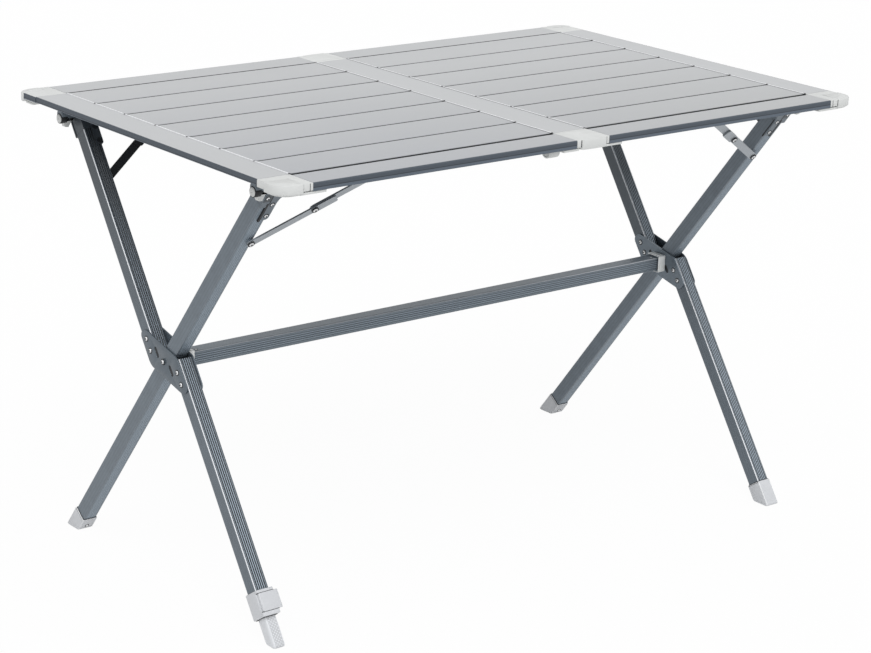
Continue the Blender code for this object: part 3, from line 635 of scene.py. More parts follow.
def round_rims(shape, radius, inside=(0, 0), segments=2):
    """Round the level edges of a drawn shape, but not those round its hole."""
    rims = []
    for edge in shape.edges:
        if not is_level(edge) or len(edge.link_faces) != 2 or edge.calc_face_angle(0) < radians(60):
            continue
        if all(abs(point.co.x) < inside[0] and abs(point.co.y) < inside[1] for point in edge.verts):
            continue
        rims.append(edge)
    bmesh.ops.bevel(shape, geom=rims, offset=radius, segments=segments, affect='EDGES',
                    profile=0.5, material=-1)


def rectangle(low_x, low_y, high_x, high_y):
    """Corners of a rectangle."""
    return [(low_x, low_y), (high_x, low_y), (high_x, high_y), (low_x, high_y)]


def board(corners, radii, low, high, edge=0.0, segments=4, rounds=2):
    """Flat piece from a few corners, each rounded, given its thickness and soft edges."""
    shape = bmesh.new()
    points = [shape.verts.new((x, y, low)) for x, y in corners]
    shape.faces.new(points)
    if not isinstance(radii, (list, tuple)):
        radii = [radii] * len(corners)
    for radius in sorted(set(radii)):
        if radius > 0:
            chosen = [point for point, size in zip(points, radii) if size == radius and point.is_valid]
            bmesh.ops.bevel(shape, geom=chosen, offset=radius, segments=segments, affect='VERTICES',
                            profile=0.5, material=-1)
    grow(shape, high - low)
    if edge:
        round_rims(shape, edge, segments=rounds)
    return shape


def sleeve(outside, inside, radius, low, high, edge=0.0):
    """Square ring round a tube, from how far both its walls stand off the tube."""
    shape = bmesh.new()
    halves = [(TUBE_HALF_WIDTH + x, TUBE_HALF_DEPTH + y) for x, y in (outside, inside)]
    loops = [[shape.verts.new((x, y, low)) for x, y in rectangle(-half_x, -half_y, half_x, half_y)]
             for half_x, half_y in halves]
    for here in range(4):
        there = (here + 1) % 4
        shape.faces.new((loops[0][here], loops[0][there], loops[1][there], loops[1][here]))
    grow(shape, high - low)
    hole = [half + TINY for half in halves[1]]
    posts = [post for post in shape.edges
             if all(abs(point.co.x) > hole[0] for point in post.verts) and not is_level(post)]
    bmesh.ops.bevel(shape, geom=posts, offset=radius, segments=4, affect='EDGES', profile=0.5, material=-1)
    if edge:
        round_rims(shape, edge, hole)
    return shape


def slotted(corners, radius, slots, low, high, edge):
    """Plate with rounded corners and slots cut through it."""
    outline = board(corners, radius, 0, 1, 0, 5)
    base = [face for face in outline.faces if abs(face.normal.z) > 0.9 and face.calc_center_median().z < 0.5]
    loops = [[tuple(point.co.xy) for point in base[0].verts]]
    outline.free()
    for (x, y), half, width in slots:
        loop = []
        for sign, first in ((1, -pi / 2), (-1, pi / 2)):
            for step in range(7):
                turn = first + pi * step / 6
                loop.append((x + sign * half + width / 2 * cos(turn), y + width / 2 * sin(turn)))
        loops.append(loop)
    shape = bmesh.new()
    for loop in loops:
        points = [shape.verts.new((x, y, low)) for x, y in loop]
        for here, there in zip(points, points[1:] + points[:1]):
            shape.edges.new((here, there))
    bmesh.ops.triangle_fill(shape, use_beauty=True, use_dissolve=False, edges=shape.edges[:])
    grow(shape, high - low)
    round_rims(shape, edge)
    return shape


def turned(profile, steps=24):
    """Closed round piece from radius and height pairs, spun about Z."""
    shape = bmesh.new()
    points = [shape.verts.new((radius, 0, height)) for radius, height in profile]
    edges = [shape.edges.new(pair) for pair in zip(points, points[1:])]
    bmesh.ops.spin(shape, geom=points + edges, cent=(0, 0, 0), axis=(0, 0, 1), angle=2 * pi,
                   steps=steps, use_merge=True)
    bmesh.ops.remove_doubles(shape, verts=shape.verts, dist=0.00001)
    bmesh.ops.recalc_face_normals(shape, faces=shape.faces)
    return shape


def disc(radius, low, high, edge=0.0003):
    """Round plate with a soft rim."""
    return turned([(0, low), (radius, low), (radius, high - edge), (radius - edge, high), (0, high)], 20)


def rivet(radius, height):
    """Domed rivet head on its washer, standing on Z 0."""
    washer = 0.0004
    profile = [(0, -washer), (radius * 1.08, -washer), (radius * 1.08, 0.0003), (radius, washer)]
    for step in range(1, 6):
        turn = pi / 2 * step / 5
        profile.append((radius * cos(turn), washer + height * sin(turn)))
    profile[-1] = (0, washer + height)
    return turned(profile, 20)


class Rivets:
    """Bright rivet heads and the painted shade round them, gathered for two pieces."""

    def __init__(self):
        self.heads = bmesh.new()
        self.shade_rings = bmesh.new()

    def add(self, matrix, radius, height=0.0014):
        """Head with painted shade as a dark disc on its hollow end and a dark ring round it."""
        absorb(self.heads, rivet(radius, height), matrix)
        # painted shade in the hollow end and round the head
        absorb(self.shade_rings, disc(radius * 0.42, height, height + 0.0006, 0.0001), matrix)
        absorb(self.shade_rings, disc(radius * 1.5, -0.0004, 0.0004, 0.0002), matrix)

    def finish(self, heads, shade_rings, body):
        """Write both pieces under their names."""
        finish_piece(self.heads, heads, "rivet", body)
        finish_piece(self.shade_rings, shade_rings, "dark", body)


class Leg:
    """A leg's own directions, at its pivot."""

    def __init__(self, side, split):
        self.side = side
        self.split = split
        self.label = "right" if side > 0 else "left"
        self.tilt = SPLIT_TILT if split else CROSS_TILT
        lean, rise = cos(self.tilt), sin(self.tilt)
        self.inward = side if split else -side
        turn = 1 if split else -1
        rows = ((-turn, 0, 0), (0, turn * lean, rise), (0, turn * rise, -lean))
        self.matrix = Matrix(rows).transposed().to_4x4()
        self.matrix.translation = (side * LEG_CENTRE_X, 0, PIVOT_HEIGHT)
        top_offset = SPLIT_OFFSET if split else 0.0
        self.foot_offset = -top_offset
        self.face = top_offset + TUBE_HALF_DEPTH
        self.sheet_face = self.face + SEAT_GAP + SHEET
        self.arm_out = self.face - ARM_RADIUS
        self.arm_up = (ARM_HEIGHT - PIVOT_HEIGHT + self.arm_out * lean) / rise
        self.corner = "%s_%s" % ("rear" if split else "front", self.label)
        self.body = "leg_base" if split else self.label + "_cross_leg"
        self.arm_body = "arm_%s_body" % self.corner

    def at(self, inward, up, out):
        """Place and directions at a point of the leg."""
        return self.matrix @ shift(self.inward * inward, up, out)

    def across(self, inward, up, out):
        """The same, with Z turned to run inward."""
        turn = Matrix(((0, 0, self.inward, 0), (0, 1, 0, 0), (-self.inward, 0, 0, 0), (0, 0, 0, 1)))
        return self.at(inward, up, out) @ turn

    def beside(self, inward):
        """Directions on the leg's flank, X up along it, Y out to the face and Z inward."""
        rows = ((0, 0, self.inward, self.inward * inward), (1, 0, 0, 0), (0, 1, 0, 0), (0, 0, 0, 1))
        return self.matrix @ Matrix(rows)

    def along(self, up, out):
        """Directions across the leg, X inward, Y back from the face and Z up along it."""
        rows = ((self.inward, 0, 0, 0), (0, 0, 1, up), (0, -1, 0, out), (0, 0, 0, 1))
        return self.matrix @ Matrix(rows)

    def floor(self, out, height=0.0):
        """How far along the leg a height above the floor lies."""
        return (height - PIVOT_HEIGHT + out * cos(self.tilt)) / sin(self.tilt)


def legs():
    """The four legs, left and right, cross and split."""
    return [Leg(side, split) for side in (-1, 1) for split in (False, True)]


# Pieces

class TABLE_OT_slats(bpy.types.Operator):
    """Finish the slats"""
    bl_idname = "table.slats"
    bl_label = "Slats"

    def execute(self, context):
        for _, label in SIDES:
            for number in range(1, SLAT_COUNT + 1):
                coat_node("slat_%s_%d" % (label, number), "slat")
        return {'FINISHED'}


class TABLE_OT_profiles(bpy.types.Operator):
    """Finish the cross profiles and add their lip strips, with painted shade beside them and at the lines
    between the slats
    """
    bl_idname = "table.profiles"
    bl_label = "Cross Profiles"

    def execute(self, context):
        width, height = sizes().lip_width, sizes().lip_height
        lines = {"left": (-SLAT_END,), "middle": (-SLAT_START, SLAT_START), "right": (SLAT_END,)}
        for name, places in lines.items():
            coat_node("profile_" + name, "profile")
            lip_highlights, joints = bmesh.new(), bmesh.new()
            for x in places:
                # raised strip, its bright colour a painted highlight
                self.strip(lip_highlights, x, width / 2, height, edge=0.0003)
                # painted shade: a dark line beside the lip, and dark notches where the lines between the
                # slats meet it
                offset = (width / 2 + 0.0004) * (1 if name == "left" else -1)
                self.strip(joints, x + offset, 0.0005, 0.0001)
                for number in range(8):
                    y = -GAP_LINE + SLAT_PITCH * number
                    half = 0.0030 if number == 0 else 0.0016
                    self.strip(joints, x, width / 2, height + 0.0001, y - half, y + half)
            finish_piece(lip_highlights, "profile_lip_highlight_" + name, "lip", "table_top")
            finish_piece(joints, "profile_joint_shade_" + name, "dark", "table_top")
        return {'FINISHED'}

    def strip(self, shape, x, half, height, near=-HALF_WIDTH, far=HALF_WIDTH, edge=0.0):
        """Thin strip along a profile, kept between the end caps."""
        reach = GAP_LINE - 0.0004
        corners = rectangle(x - half, max(near, -reach), x + half, min(far, reach))
        absorb(shape, board(corners, 0, TABLE_HEIGHT - SINK, TABLE_HEIGHT + height, edge))


class TABLE_OT_caps(bpy.types.Operator):
    """Mould the corner and middle caps"""
    bl_idname = "table.caps"
    bl_label = "Caps"

    def execute(self, context):
        for back, end in ((-1, "front"), (1, "rear")):
            for side, label in SIDES:
                self.corner("cap_%s_%s" % (end, label), side, back)
            self.middle("cap_%s_middle" % end, back)
            self.arm_rest("arm_rest_%s_middle" % end, back)
        return {'FINISHED'}

    def hook(self, shape, low, high, back):
        """Tongue that grips under the edge slat."""
        top = SLAT_BOTTOM - SEAT_GAP
        for inner, outer, thick in ((0.3140, 0.3320, 0.0022), (0.3330, 0.3488, 0.0036)):
            near, far = sorted((back * inner, back * outer))
            absorb(shape, board(rectangle(low, near, high, far), 0.002, top - thick, top, 0.0006))
        near, far = sorted((back * 0.3300, back * 0.3350))
        link = rectangle(low + 0.003, near, high - 0.003, far)
        absorb(shape, board(link, 0, top - 0.0020, top - SINK))

    def seam(self, shape, low_x, low_y, high_x, high_y, depth=0.0105):
        """Painted shade: a thin dark strip down the side of a cap."""
        corners = rectangle(low_x, low_y, high_x, high_y)
        absorb(shape, board(corners, 0, TABLE_HEIGHT - depth, TABLE_HEIGHT - 0.0006))

    def corner(self, name, side, back):
        """Rounded corner with flat collars and a bumper that stands proud."""
        top = TABLE_HEIGHT
        near_x, near_y = SLAT_END + SEAT_GAP, GAP_LINE
        collar, bulge, inset = 0.016, 0.0020, 0.003
        bumper_x = near_x + collar
        bumper_y = near_y + (0.036 if back > 0 else 0.018)
        shape = board(rectangle(near_x, near_y, HALF_LENGTH, HALF_WIDTH), [0, 0, 0.026, 0],
                      top - 0.0108, top + 0.0001, 0.0007, 8)
        bumper = rectangle(bumper_x, bumper_y, HALF_LENGTH + bulge, HALF_WIDTH + bulge)
        absorb(shape, board(bumper, [0.001, 0.0015, 0.027, 0.0015], top - 0.0136, top + 0.0004,
                            sizes().edge_radius, 8))
        pad = rectangle(bumper_x, near_y + collar, HALF_LENGTH - inset, HALF_WIDTH - inset)
        absorb(shape, board(pad, [0.002, 0.004, 0.020, 0.004], top - 0.0160, top - 0.0130, 0.0008, 6))
        whole = mirrored(shape, side, back)
        self.hook(whole, *sorted((side * (near_x + 0.020), side * (near_x - 0.024))), back)
        mould_node(whole, name, "cap", "table_top")
        # painted shade down the sides where the bumper steps out and near the slat's end
        dark = bmesh.new()
        for x in (bumper_x, near_x + 0.0050):
            self.seam(dark, x - 0.0006, bumper_y, x, HALF_WIDTH + 0.0004)
        if back < 0:
            self.seam(dark, bumper_x, bumper_y - 0.0006, HALF_LENGTH + 0.0004, bumper_y)
        finish_piece(mirrored(dark, side, back), name + "_seams", "dark", "table_top")
        if back > 0:
            rim = rectangle(HALF_LENGTH - 0.0004, near_y - SINK, HALF_LENGTH + 0.0006, bumper_y - 0.0010)
            finish_piece(mirrored(board(rim, 0, top - 0.0090, top - 0.0004), side, 1),
                         name + "_rim", "profile", "table_top")

    def middle(self, name, back):
        """End piece of the middle profile with its bulged face."""
        top = TABLE_HEIGHT
        edge = SLAT_START - SEAT_GAP
        left, right, near = -edge + 0.008, edge - 0.006, GAP_LINE + 0.006
        shape = board(rectangle(-edge, GAP_LINE, edge, HALF_WIDTH), [0, 0, 0.001, 0.001],
                      top - 0.0112, top + 0.0001, 0.0007)
        bulge = [(left, near), (right, near), (right, HALF_WIDTH + 0.0028), (0, HALF_WIDTH + 0.0030),
                 (left, HALF_WIDTH + 0.0010)]
        absorb(shape, board(bulge, [0.001, 0.001, 0.004, 0, 0.006], top - 0.0150, top + 0.0003, 0.0012, 6))
        whole = mirrored(shape, 1, back)
        self.hook(whole, -edge - 0.024, -edge + 0.006, back)
        self.hook(whole, edge - 0.006, edge + 0.027, back)
        mould_node(whole, name, "cap", "table_top")
        # painted shade down both sides of the bulged face
        dark = bmesh.new()
        for x in (left, right):
            self.seam(dark, x - 0.0006, near, x + 0.0006, HALF_WIDTH + 0.0004, 0.0110)
        finish_piece(mirrored(dark, 1, back), name + "_seams", "dark", "table_top")

    def arm_rest(self, name, back):
        """Round rest for the arms' tips on its post under the middle profile."""
        y = back * ARM_REST_Y
        profile = [(0, -0.0095), (0.0066, -0.0095), (0.0070, -0.0102), (0.0088, -0.0102), (0.0098, -0.0092),
                   (0.0098, 0.0092), (0.0088, 0.0102), (0, 0.0102)]
        whole = placed(turned(profile), shift(0, y, ARM_REST_HEIGHT) @ Matrix.Rotation(pi / 2, 4, 'Y'))
        post = rectangle(-0.0085, y - 0.006, 0.0085, y + 0.006)
        absorb(whole, board(post, 0.002, ARM_REST_HEIGHT, PROFILE_BOTTOM - SEAT_GAP, 0.0006))
        finish_piece(whole, name, "cap", "table_top")


class TABLE_OT_legs(bpy.types.Operator):
    """Finish the fluted legs and the bar"""
    bl_idname = "table.legs"
    bl_label = "Legs and Bar"

    def execute(self, context):
        rivets = Rivets()
        for side, label in SIDES:
            coat_node("cross_leg_" + label, "cross_" + label)
            for node in ("split_leg_upper_", "split_leg_lower_"):
                coat_node(node + label, "split_" + label)
            spot = shift(side * BUTTON_X, -0.006, PIVOT_HEIGHT + BAR_HALF_HEIGHT + 0.0001)
            rivets.add(spot, 0.0017, 0.0010)
        coat_node("bar", "bar")
        rivets.finish("bar_buttons", "bar_button_shade_rings", "cross_bar")
        return {'FINISHED'}


class TABLE_OT_plates(bpy.types.Operator):
    """Cut the slotted scissor plates and set their rivets"""
    bl_idname = "table.plates"
    bl_label = "Scissor Plates"

    def execute(self, context):
        for leg in legs():
            if leg.split:
                outer = leg.beside(PLATE_THICKNESS - PLATE_REACH) @ Matrix.Diagonal((1, 1, -1, 1))
                self.plate(leg, outer)
                # the inner plate takes the lighter copy as painted light
                coat_node("plate_inner_" + leg.label, "plate_inner")
                self.rivets(leg, outer)
        return {'FINISHED'}

    def plate(self, leg, place):
        """Outer plate with softened rims, its slots and the pin's flange."""
        corners = [(0.060, 0.0385), (0.060, 0.022), (-0.008, -0.0385)]
        corners += [(-x, -y) for x, y in corners]
        slots = [((sign * SLOT_PLACE[0], sign * SLOT_PLACE[1]), 0.0054, 0.0066) for sign in (1, -1)]
        shape = slotted(corners, 0.008, slots, 0, PLATE_THICKNESS, 0.0007)
        absorb(shape, disc(0.0046, PLATE_THICKNESS - SINK, PLATE_THICKNESS + 0.0015))
        absorb(shape, disc(0.0030, -0.026, SINK))
        node = "plate_outer_" + leg.label
        finish_piece(placed(shape, place), node + "_cut", "plate", "leg_base", [node])

    def rivets(self, leg, outer):
        """Rivets of both plates, the pin's heads and painted shade behind the slots."""
        radius = sizes().rivet_radius
        rivets = Rivets()
        for place in (outer, leg.beside(PLATE_REACH - PLATE_THICKNESS)):
            for sign in (1, -1):
                # painted shade: dark blocks seen through the slots
                slot_shade = board(rectangle(-0.0090, -0.0034, 0.0090, 0.0034), 0.0033, SINK,
                             PLATE_THICKNESS - 0.0008)
                absorb(rivets.shade_rings, slot_shade, place @ shift(sign * SLOT_PLACE[0], sign * SLOT_PLACE[1]))
        spots = [(sign * up, sign * out) for sign in (1, -1) for up, out in PLATE_RIVETS]
        for up, out in spots:
            rivets.add(leg.across(PLATE_REACH, up, out), radius)
        for up, out in spots + [(0, 0)]:
            inward = -PLATE_REACH - (0.0016 if up == 0 else 0.0)
            rivets.add(leg.across(inward, up, out) @ Matrix.Rotation(pi, 4, 'X'), radius)
        absorb(rivets.heads, rivet(0.0042, 0.0008), leg.across(PLATE_REACH + 0.0001, 0, 0))
        rivets.finish("plate_rivets_" + leg.label, "plate_shade_rings_" + leg.label, "leg_base")


class TABLE_OT_sockets(bpy.types.Operator):
    """Mould the open-backed sockets that grip the bar"""
    bl_idname = "table.sockets"
    bl_label = "Bar Sockets"

    def execute(self, context):
        near = LEG_CENTRE_X - TUBE_HALF_WIDTH - SEAT_GAP - PLATE_THICKNESS
        for side, label in SIDES:
            turn = Matrix(((0, 0, -side, side * near), (1, 0, 0, 0), (0, 1, 0, PIVOT_HEIGHT), (0, 0, 0, 1)))
            finish_piece(placed(self.grip(), turn), "bar_socket_" + label, "socket", "leg_base")
        return {'FINISHED'}

    def grip(self):
        """Channel with its back open, in Y and Z, drawn inward."""
        lip, wall, skin = 0.0129, 0.0019, 0.0008
        inner_y, inner_z = lip + wall, 0.0114 + wall
        outer_y, outer_z = inner_y + skin, inner_z + skin
        corners = [(-outer_y, -outer_z), (lip, -outer_z), (lip, -inner_z), (-inner_y, -inner_z),
                   (-inner_y, inner_z), (lip, inner_z), (lip, outer_z), (-outer_y, outer_z)]
        return board(corners, [0.0015, 0, 0, 0, 0, 0, 0, 0.0015], SINK, 0.0158, 0.0003)


class TABLE_OT_arms(bpy.types.Operator):
    """Finish the support arms and plug their ends"""
    bl_idname = "table.arms"
    bl_label = "Support Arms"

    def execute(self, context):
        profile = [(0, 0.0008), (0.0066, 0.0008), (0.0078, 0.0002), (0.0084, -0.0010), (0.0084, -0.0100),
                   (0.0078, -0.0104), (0, -0.0104)]
        for leg in legs():
            coat_node("arm_" + leg.corner, "frame")
            self.cup(leg)
            tip = placed(turned(profile), leg.across(ARM_INNER_INSET, leg.arm_up, leg.arm_out))
            finish_piece(tip, "arm_tip_" + leg.corner, "dark", leg.arm_body)
        return {'FINISHED'}

    def cup(self, leg):
        """Pale disc in a dark cup on the arm's outer end, with the lug under it."""
        side = leg.side
        drop = shift(z=-0.0065)
        out = drop @ leg.across(ARM_OUTER_INSET, leg.arm_up, leg.arm_out) @ Matrix.Rotation(pi, 4, 'X')
        plug = placed(turned([(0, 0.0014), (0.0011, 0.0014), (0.0015, 0.0020), (0.0054, 0.0020),
                              (0.0066, 0.0010), (0.0066, -0.0004), (0, -0.0004)]), out)
        cup = placed(turned([(0, -0.0006), (0.0066, -0.0006), (0.0066, 0.0008), (0.0074, 0.0008),
                             (0.0078, 0.0002), (0.0078, -0.0090), (0.0070, -0.0104), (0, -0.0104)]), out)
        centre = leg.at(0, leg.arm_up, leg.arm_out).translation
        x, y, z = side * (ARM_OUTER_END - 0.0110), centre.y, centre.z - 0.0055
        corners = [(0.0075, -0.0050), (-0.0090, -0.0050), (-0.0090, -0.0030), (-0.0020, -0.0150),
                   (0.0045, -0.0140)]
        lug = board([(side * inward, up) for inward, up in corners][::side], 0.0008, -0.0040, 0.0040, 0.0006)
        absorb(plug, lug, Matrix(((1, 0, 0, x), (0, 0, -1, y), (0, 1, 0, z), (0, 0, 0, 1))))
        finish_piece(plug, "arm_plug_" + leg.corner, "cap", leg.arm_body)
        finish_piece(cup, "arm_cup_" + leg.corner, "dark", leg.arm_body)


class TABLE_OT_brackets(bpy.types.Operator):
    """Finish the arm brackets and set their rivets"""
    bl_idname = "table.brackets"
    bl_label = "Brackets"

    def execute(self, context):
        for leg in legs():
            # rear brackets take the darker copy as painted shade
            coat_node("bracket_" + leg.corner, "frame_shaded" if leg.split else "frame")
            flat = leg.matrix @ Matrix.Diagonal((leg.inward, 1, 1, 1))
            rivets, joint_shade = Rivets(), bmesh.new()
            self.rivets(leg, rivets, joint_shade)
            # painted shade in the joins round the bracket
            self.joints(leg, flat @ shift(z=leg.face), joint_shade)
            self.cheek(leg, flat @ shift(z=leg.sheet_face))
            rivets.finish("bracket_rivets_" + leg.corner, "bracket_shade_rings_" + leg.corner, leg.body)
            finish_piece(joint_shade, "bracket_seams_" + leg.corner, "dark", leg.body)
        return {'FINISHED'}

    def rivets(self, leg, rivets, joint_shade):
        """Rivets on the face, and flat dark ends of the same rivets at the back."""
        radius, up = sizes().rivet_radius * 0.9, leg.arm_up
        for inward, drop in ((-0.0065, 0.0170), (BRACKET_STRIP, 0.0330), (BRACKET_STRIP, 0.0575)):
            rivets.add(leg.at(inward, up - drop, leg.sheet_face), radius, 0.0011)
        rivets.add(leg.at(HINGE_INSET, up, leg.sheet_face), radius, 0.0010)
        back = leg.face - 2 * TUBE_HALF_DEPTH - SEAT_GAP - SHEET
        for drop in (0.0330, 0.0560):
            spot = leg.at(BRACKET_STRIP, up - drop, back) @ Matrix.Rotation(pi, 4, 'X')
            absorb(joint_shade, disc(radius * 1.6, -SINK, SINK, 0.0001), spot)

    def joints(self, leg, face, joint_shade):
        """Painted shade in the joins beside the strip, on the face and on the flank, and in the slit above
        it.
        """
        up = leg.arm_up
        seam = rectangle(-0.0024, up - 0.0690, 0.0010, up - 0.0300)
        absorb(joint_shade, board(seam, 0, 0, SEAT_GAP + SHEET + 0.0003), face)
        slit = rectangle(0.0004, up - 0.0310, 0.0020, up - 0.0060)
        absorb(joint_shade, board(slit, 0, 0, SEAT_GAP + SHEET + 0.0002), face)
        strip = rectangle(up - 0.0710, leg.face - 0.0026, up - 0.0300, leg.face - 0.0002)
        absorb(joint_shade, board(strip, 0.0008, 0, 0.0003), leg.beside(TUBE_HALF_WIDTH))

    def cheek(self, leg, face):
        """Painted shade: a darker flat round the upper rivet."""
        corners = rectangle(-0.0116, leg.arm_up - 0.0250, 0.0003, leg.arm_up - 0.0085)
        finish_piece(placed(board(corners, 0.0010, 0, SINK), face), "bracket_cheek_shade_" + leg.corner,
                     "frame_shaded", leg.body)


class TABLE_OT_stays(bpy.types.Operator):
    """Finish the folding stays and set their rivets"""
    bl_idname = "table.stays"
    bl_label = "Folding Stays"

    def execute(self, context):
        washer = 0.0012
        knee_inset = (STAY_HEAD_INSET + STAY_FOOT_INSET) / 2
        for leg in legs():
            outer = leg.sheet_face + SEAT_GAP + SHEET
            upper, lower = Rivets(), Rivets()
            upper.add(leg.at(STAY_HEAD_INSET, leg.arm_up, leg.sheet_face), 0.0034, 0.0012)
            upper.add(leg.at(knee_inset, leg.arm_up - STAY_FOOT_DROP / 2, outer + SEAT_GAP + washer),
                      0.0036, 0.0010)
            lower.add(leg.at(STAY_FOOT_INSET, leg.arm_up - STAY_FOOT_DROP, outer + washer), 0.0036, 0.0010)
            for link, rivets in (("stay_upper_", upper), ("stay_lower_", lower)):
                # rear stays take the near black copy as painted shade
                coat_node(link + leg.corner, "stay_shaded" if leg.split else "stay")
                rivets.finish(link + "rivets_" + leg.corner, link + "shade_rings_" + leg.corner,
                              link + leg.corner + "_link")
        return {'FINISHED'}


class TABLE_OT_feet(bpy.types.Operator):
    """Mould the feet, the clamp and its lever"""
    bl_idname = "table.feet"
    bl_label = "Feet"

    def execute(self, context):
        for leg in legs():
            if leg.split and leg.side < 0:
                self.clamp(leg)
                self.sliding(leg)
            else:
                self.plain(leg)
        return {'FINISHED'}

    def block(self, leg, half, reach, top, edge, toe):
        """Foot block cut off level with the floor."""
        near, far = leg.foot_offset - half, leg.foot_offset + half
        corners = [(top, far), (leg.floor(far), far), (leg.floor(near), near), (top, near)]
        shape = board(corners, [0.001, 0.003, toe, 0.001], -reach, reach, edge, 5, 3)
        return placed(shape, leg.beside(0))

    def plain(self, leg):
        """Foot cap with its screw, and painted shade in the join round the tube and round the screw."""
        name = "foot_%s_%s" % ("front" if leg.split else "rear", leg.label)
        centre = leg.foot_offset
        collar = leg.floor(centre, FOOT_COLLAR)
        half, reach = TUBE_HALF_DEPTH + FOOT_WALL, TUBE_HALF_WIDTH + FOOT_WALL
        mould_node(self.block(leg, half, reach, collar, 0.0018, 0.006), name, "foot", leg.body)
        # painted shade: a dark ring where the foot meets the tube, and another round the screw
        ring = sleeve((0.0005, 0.0005), (-0.0016, -0.0016), 0.0015, -0.0004, 0.0010)
        seam = placed(ring, leg.along(collar, centre))
        spot = leg.at(0.0, leg.floor(centre) + 0.0200, centre + half)
        groove_shade = [(0.0023, -0.0004), (0.0038, -0.0004), (0.0034, 0.0004), (0.0027, 0.0004),
                  (0.0023, -0.0004)]
        absorb(seam, turned(groove_shade, 20), spot)
        finish_piece(placed(rivet(0.0022, 0.0007), spot), name + "_screw", "rivet", leg.body)
        finish_piece(seam, name + "_seam", "dark", leg.body)

    def clamp(self, leg):
        """Clamp block with its two flanges and the side lever between them."""
        bottom = leg.floor(leg.foot_offset) + CLAMP_RISE
        top = bottom + CLAMP_LENGTH
        high = top - LEVER_DROP
        low = high - LEVER_LENGTH
        side, wall = TUBE_HALF_WIDTH + CLAMP_SIDE_WALL, TUBE_HALF_DEPTH + CLAMP_FRONT_WALL
        front = wall + SEAT_GAP + LEVER_DEPTH
        place = leg.along(0, leg.foot_offset)
        play = (SEAT_GAP, SEAT_GAP)
        ring = sleeve((CLAMP_SIDE_WALL, CLAMP_FRONT_WALL), play, 0.0028, bottom, top, 0.0009)
        whole, seam_shades = placed(ring, place), bmesh.new()
        for start, stop in ((bottom, low - 0.0004), (high + 0.0004, top)):
            flange = rectangle(-side, wall - 0.0035, side, front)
            absorb(whole, board(flange, [0.0005, 0.0005, 0.0030, 0.0030], start, stop, 0.0008), place)
        mould_node(whole, "foot_clamp", "clamp", "leg_base")
        hinge, tip = -side + 0.0016, side + 0.0056
        plate = [(hinge, wall + SEAT_GAP), (tip, wall + SEAT_GAP + 0.0004), (tip, front + 0.0006),
                 (hinge, front + 0.0006)]
        lever = placed(board(plate, [0.0018, 0.0012, 0.0018, 0.0022], low, high, 0.0007), place)
        mould_node(lever, "foot_lever", "clamp", "clamp_lever")
        # painted shade where the clamp's ends meet the tube and at both ends of the lever
        for height in (bottom, top):
            shade = sleeve(play, (-0.0010, -0.0010), 0.001, height - 0.0008, height + 0.0006)
            absorb(seam_shades, shade, place)
        for height in (low, high):
            strip = rectangle(-side + 0.0010, wall - 0.0010, side - 0.0004, front + 0.0001)
            absorb(seam_shades, board(strip, 0, height - 0.0004, height + 0.0004), place)
        finish_piece(seam_shades, "foot_clamp_seams", "dark", "leg_base")

    def sliding(self, leg):
        """Inner foot with rounded arrises and a pressed lattice."""
        top = leg.floor(leg.foot_offset) + CLAMP_RISE + CLAMP_LENGTH + SLIDE_OVERLAP
        foot = self.block(leg, 0.0106, 0.0096, top, 0.0028, 0.009)
        mould_node(foot, "foot_adjustable", "knurled", "extending_foot")


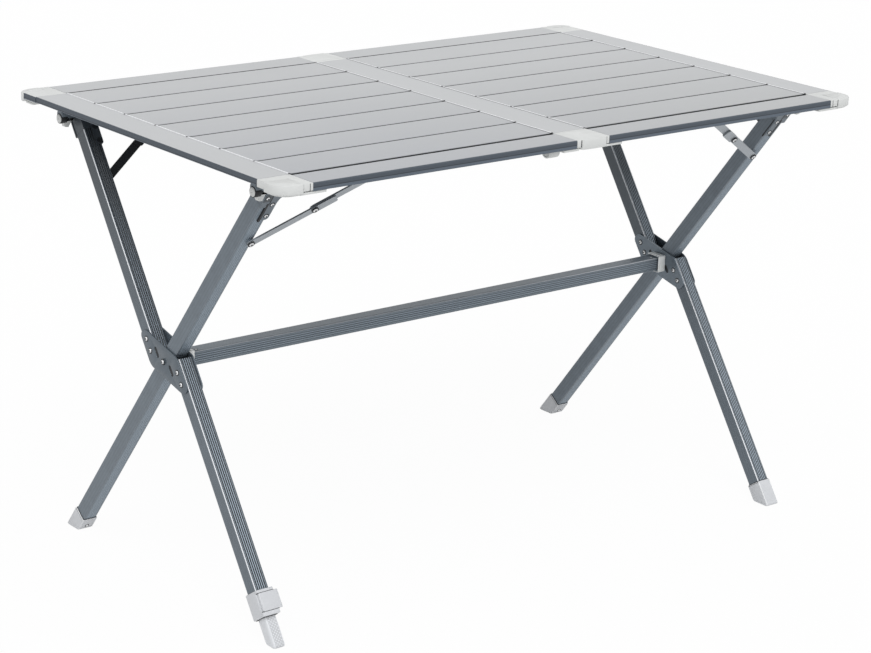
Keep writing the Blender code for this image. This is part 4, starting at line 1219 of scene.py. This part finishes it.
class TABLE_OT_stage(bpy.types.Operator):
    """Lay the floor, set the lights and place the camera"""
    bl_idname = "table.stage"
    bl_label = "Stage"

    def execute(self, context):
        self.floor()
        self.world()
        self.lights()
        self.camera(context)
        context.scene.view_settings.view_transform = 'Standard'
        return {'FINISHED'}

    def floor(self):
        """Pale floor that keeps the table's shadow."""
        shape = bmesh.new()
        bmesh.ops.create_grid(shape, x_segments=1, y_segments=1, size=30)
        mesh = bpy.data.meshes.new("floor")
        shape.to_mesh(mesh)
        shape.free()
        made = Finish("floor_white", 0.9)
        made.set("Base Color", (0.86, 0.86, 0.86, 1))
        glow = made.node("ShaderNodeEmission", None, {"Color": (1, 1, 1, 1), "Strength": 1.0})
        mixed = made.node("ShaderNodeMixShader", None,
                          {0: made.seen().ramp(0, 1) * 0.96, 1: made.shader.outputs[0], 2: glow.outputs[0]})
        made.link(mixed.outputs[0], made.tree.nodes["Material Output"].inputs["Surface"])
        mesh.materials.append(made.material)
        floor = bpy.data.objects.new("floor", mesh)
        bpy.context.scene.collection.objects.link(floor)

    def world(self):
        """White surroundings to the eye and in reflections, softer as light."""
        world = bpy.data.worlds.new("studio")
        bpy.context.scene.world = world
        world.use_nodes = True
        made = Shader(world.node_tree)
        background = made.tree.nodes["Background"]
        made.link((1, 1, 1, 1), background.inputs["Color"])
        made.link(made.seen().ramp(0, 1, 0.55, 1.0), background.inputs["Strength"])

    def lights(self):
        """Soft key from above the left front and a weak fill from the right."""
        for name, turn, strength, spread in (("key", (38, 0, -38), 1.5, 40), ("fill", (55, 0, 60), 0.5, 60)):
            data = bpy.data.lights.new(name, 'SUN')
            data.energy = strength
            data.angle = radians(spread)
            lamp = bpy.data.objects.new(name, data)
            lamp.rotation_euler = [radians(part) for part in turn]
            bpy.context.scene.collection.objects.link(lamp)

    def camera(self, context):
        """Camera at the photograph's viewpoint."""
        turn, down, roll = radians(38.662), radians(17.541), radians(1.748)
        ahead = Vector((sin(turn) * cos(down), cos(turn) * cos(down), -sin(down)))
        right = Vector((cos(turn), -sin(turn), 0))
        up = right.cross(ahead)
        across = cos(roll) * right + sin(roll) * up
        above = -sin(roll) * right + cos(roll) * up
        data = bpy.data.cameras.new("camera")
        data.sensor_width = 36
        data.lens = 101.33
        data.shift_x = 0.0026
        camera = bpy.data.objects.new("camera", data)
        camera.matrix_world = Matrix((across, above, -ahead)).transposed().to_4x4()
        camera.location = (-2.336, -2.912, 1.501)
        context.scene.collection.objects.link(camera)
        context.scene.camera = camera


PIECES = (TABLE_OT_slats, TABLE_OT_profiles, TABLE_OT_caps, TABLE_OT_legs, TABLE_OT_plates,
          TABLE_OT_sockets, TABLE_OT_arms, TABLE_OT_brackets, TABLE_OT_stays, TABLE_OT_feet,
          TABLE_OT_stage)


class TABLE_PT_panel(bpy.types.Panel):
    """Sizes, colours and pieces of the table"""
    bl_idname = "TABLE_PT_panel"
    bl_label = "Camping Table"
    bl_space_type = 'VIEW_3D'
    bl_region_type = 'UI'
    bl_category = "Table"

    def draw(self, context):
        for group in (context.scene.table_sizes, context.scene.table_colours):
            for name in group.__annotations__:
                self.layout.prop(group, name)
        for piece in PIECES:
            self.layout.operator(piece.bl_idname)


CLASSES = (TableSizes, TableColours) + PIECES + (TABLE_PT_panel,)


def register():
    """Add the classes and the settings to Blender."""
    for item in CLASSES:
        bpy.utils.register_class(item)
    bpy.types.Scene.table_sizes = bpy.props.PointerProperty(type=TableSizes)
    bpy.types.Scene.table_colours = bpy.props.PointerProperty(type=TableColours)


def unregister():
    """Take them out again."""
    del bpy.types.Scene.table_colours
    del bpy.types.Scene.table_sizes
    for item in reversed(CLASSES):
        bpy.utils.unregister_class(item)


def main():
    """Make every piece."""
    register()
    for piece in PIECES:
        group, name = piece.bl_idname.split(".")
        getattr(getattr(bpy.ops, group), name)()


if __name__ == "__main__":
    main()
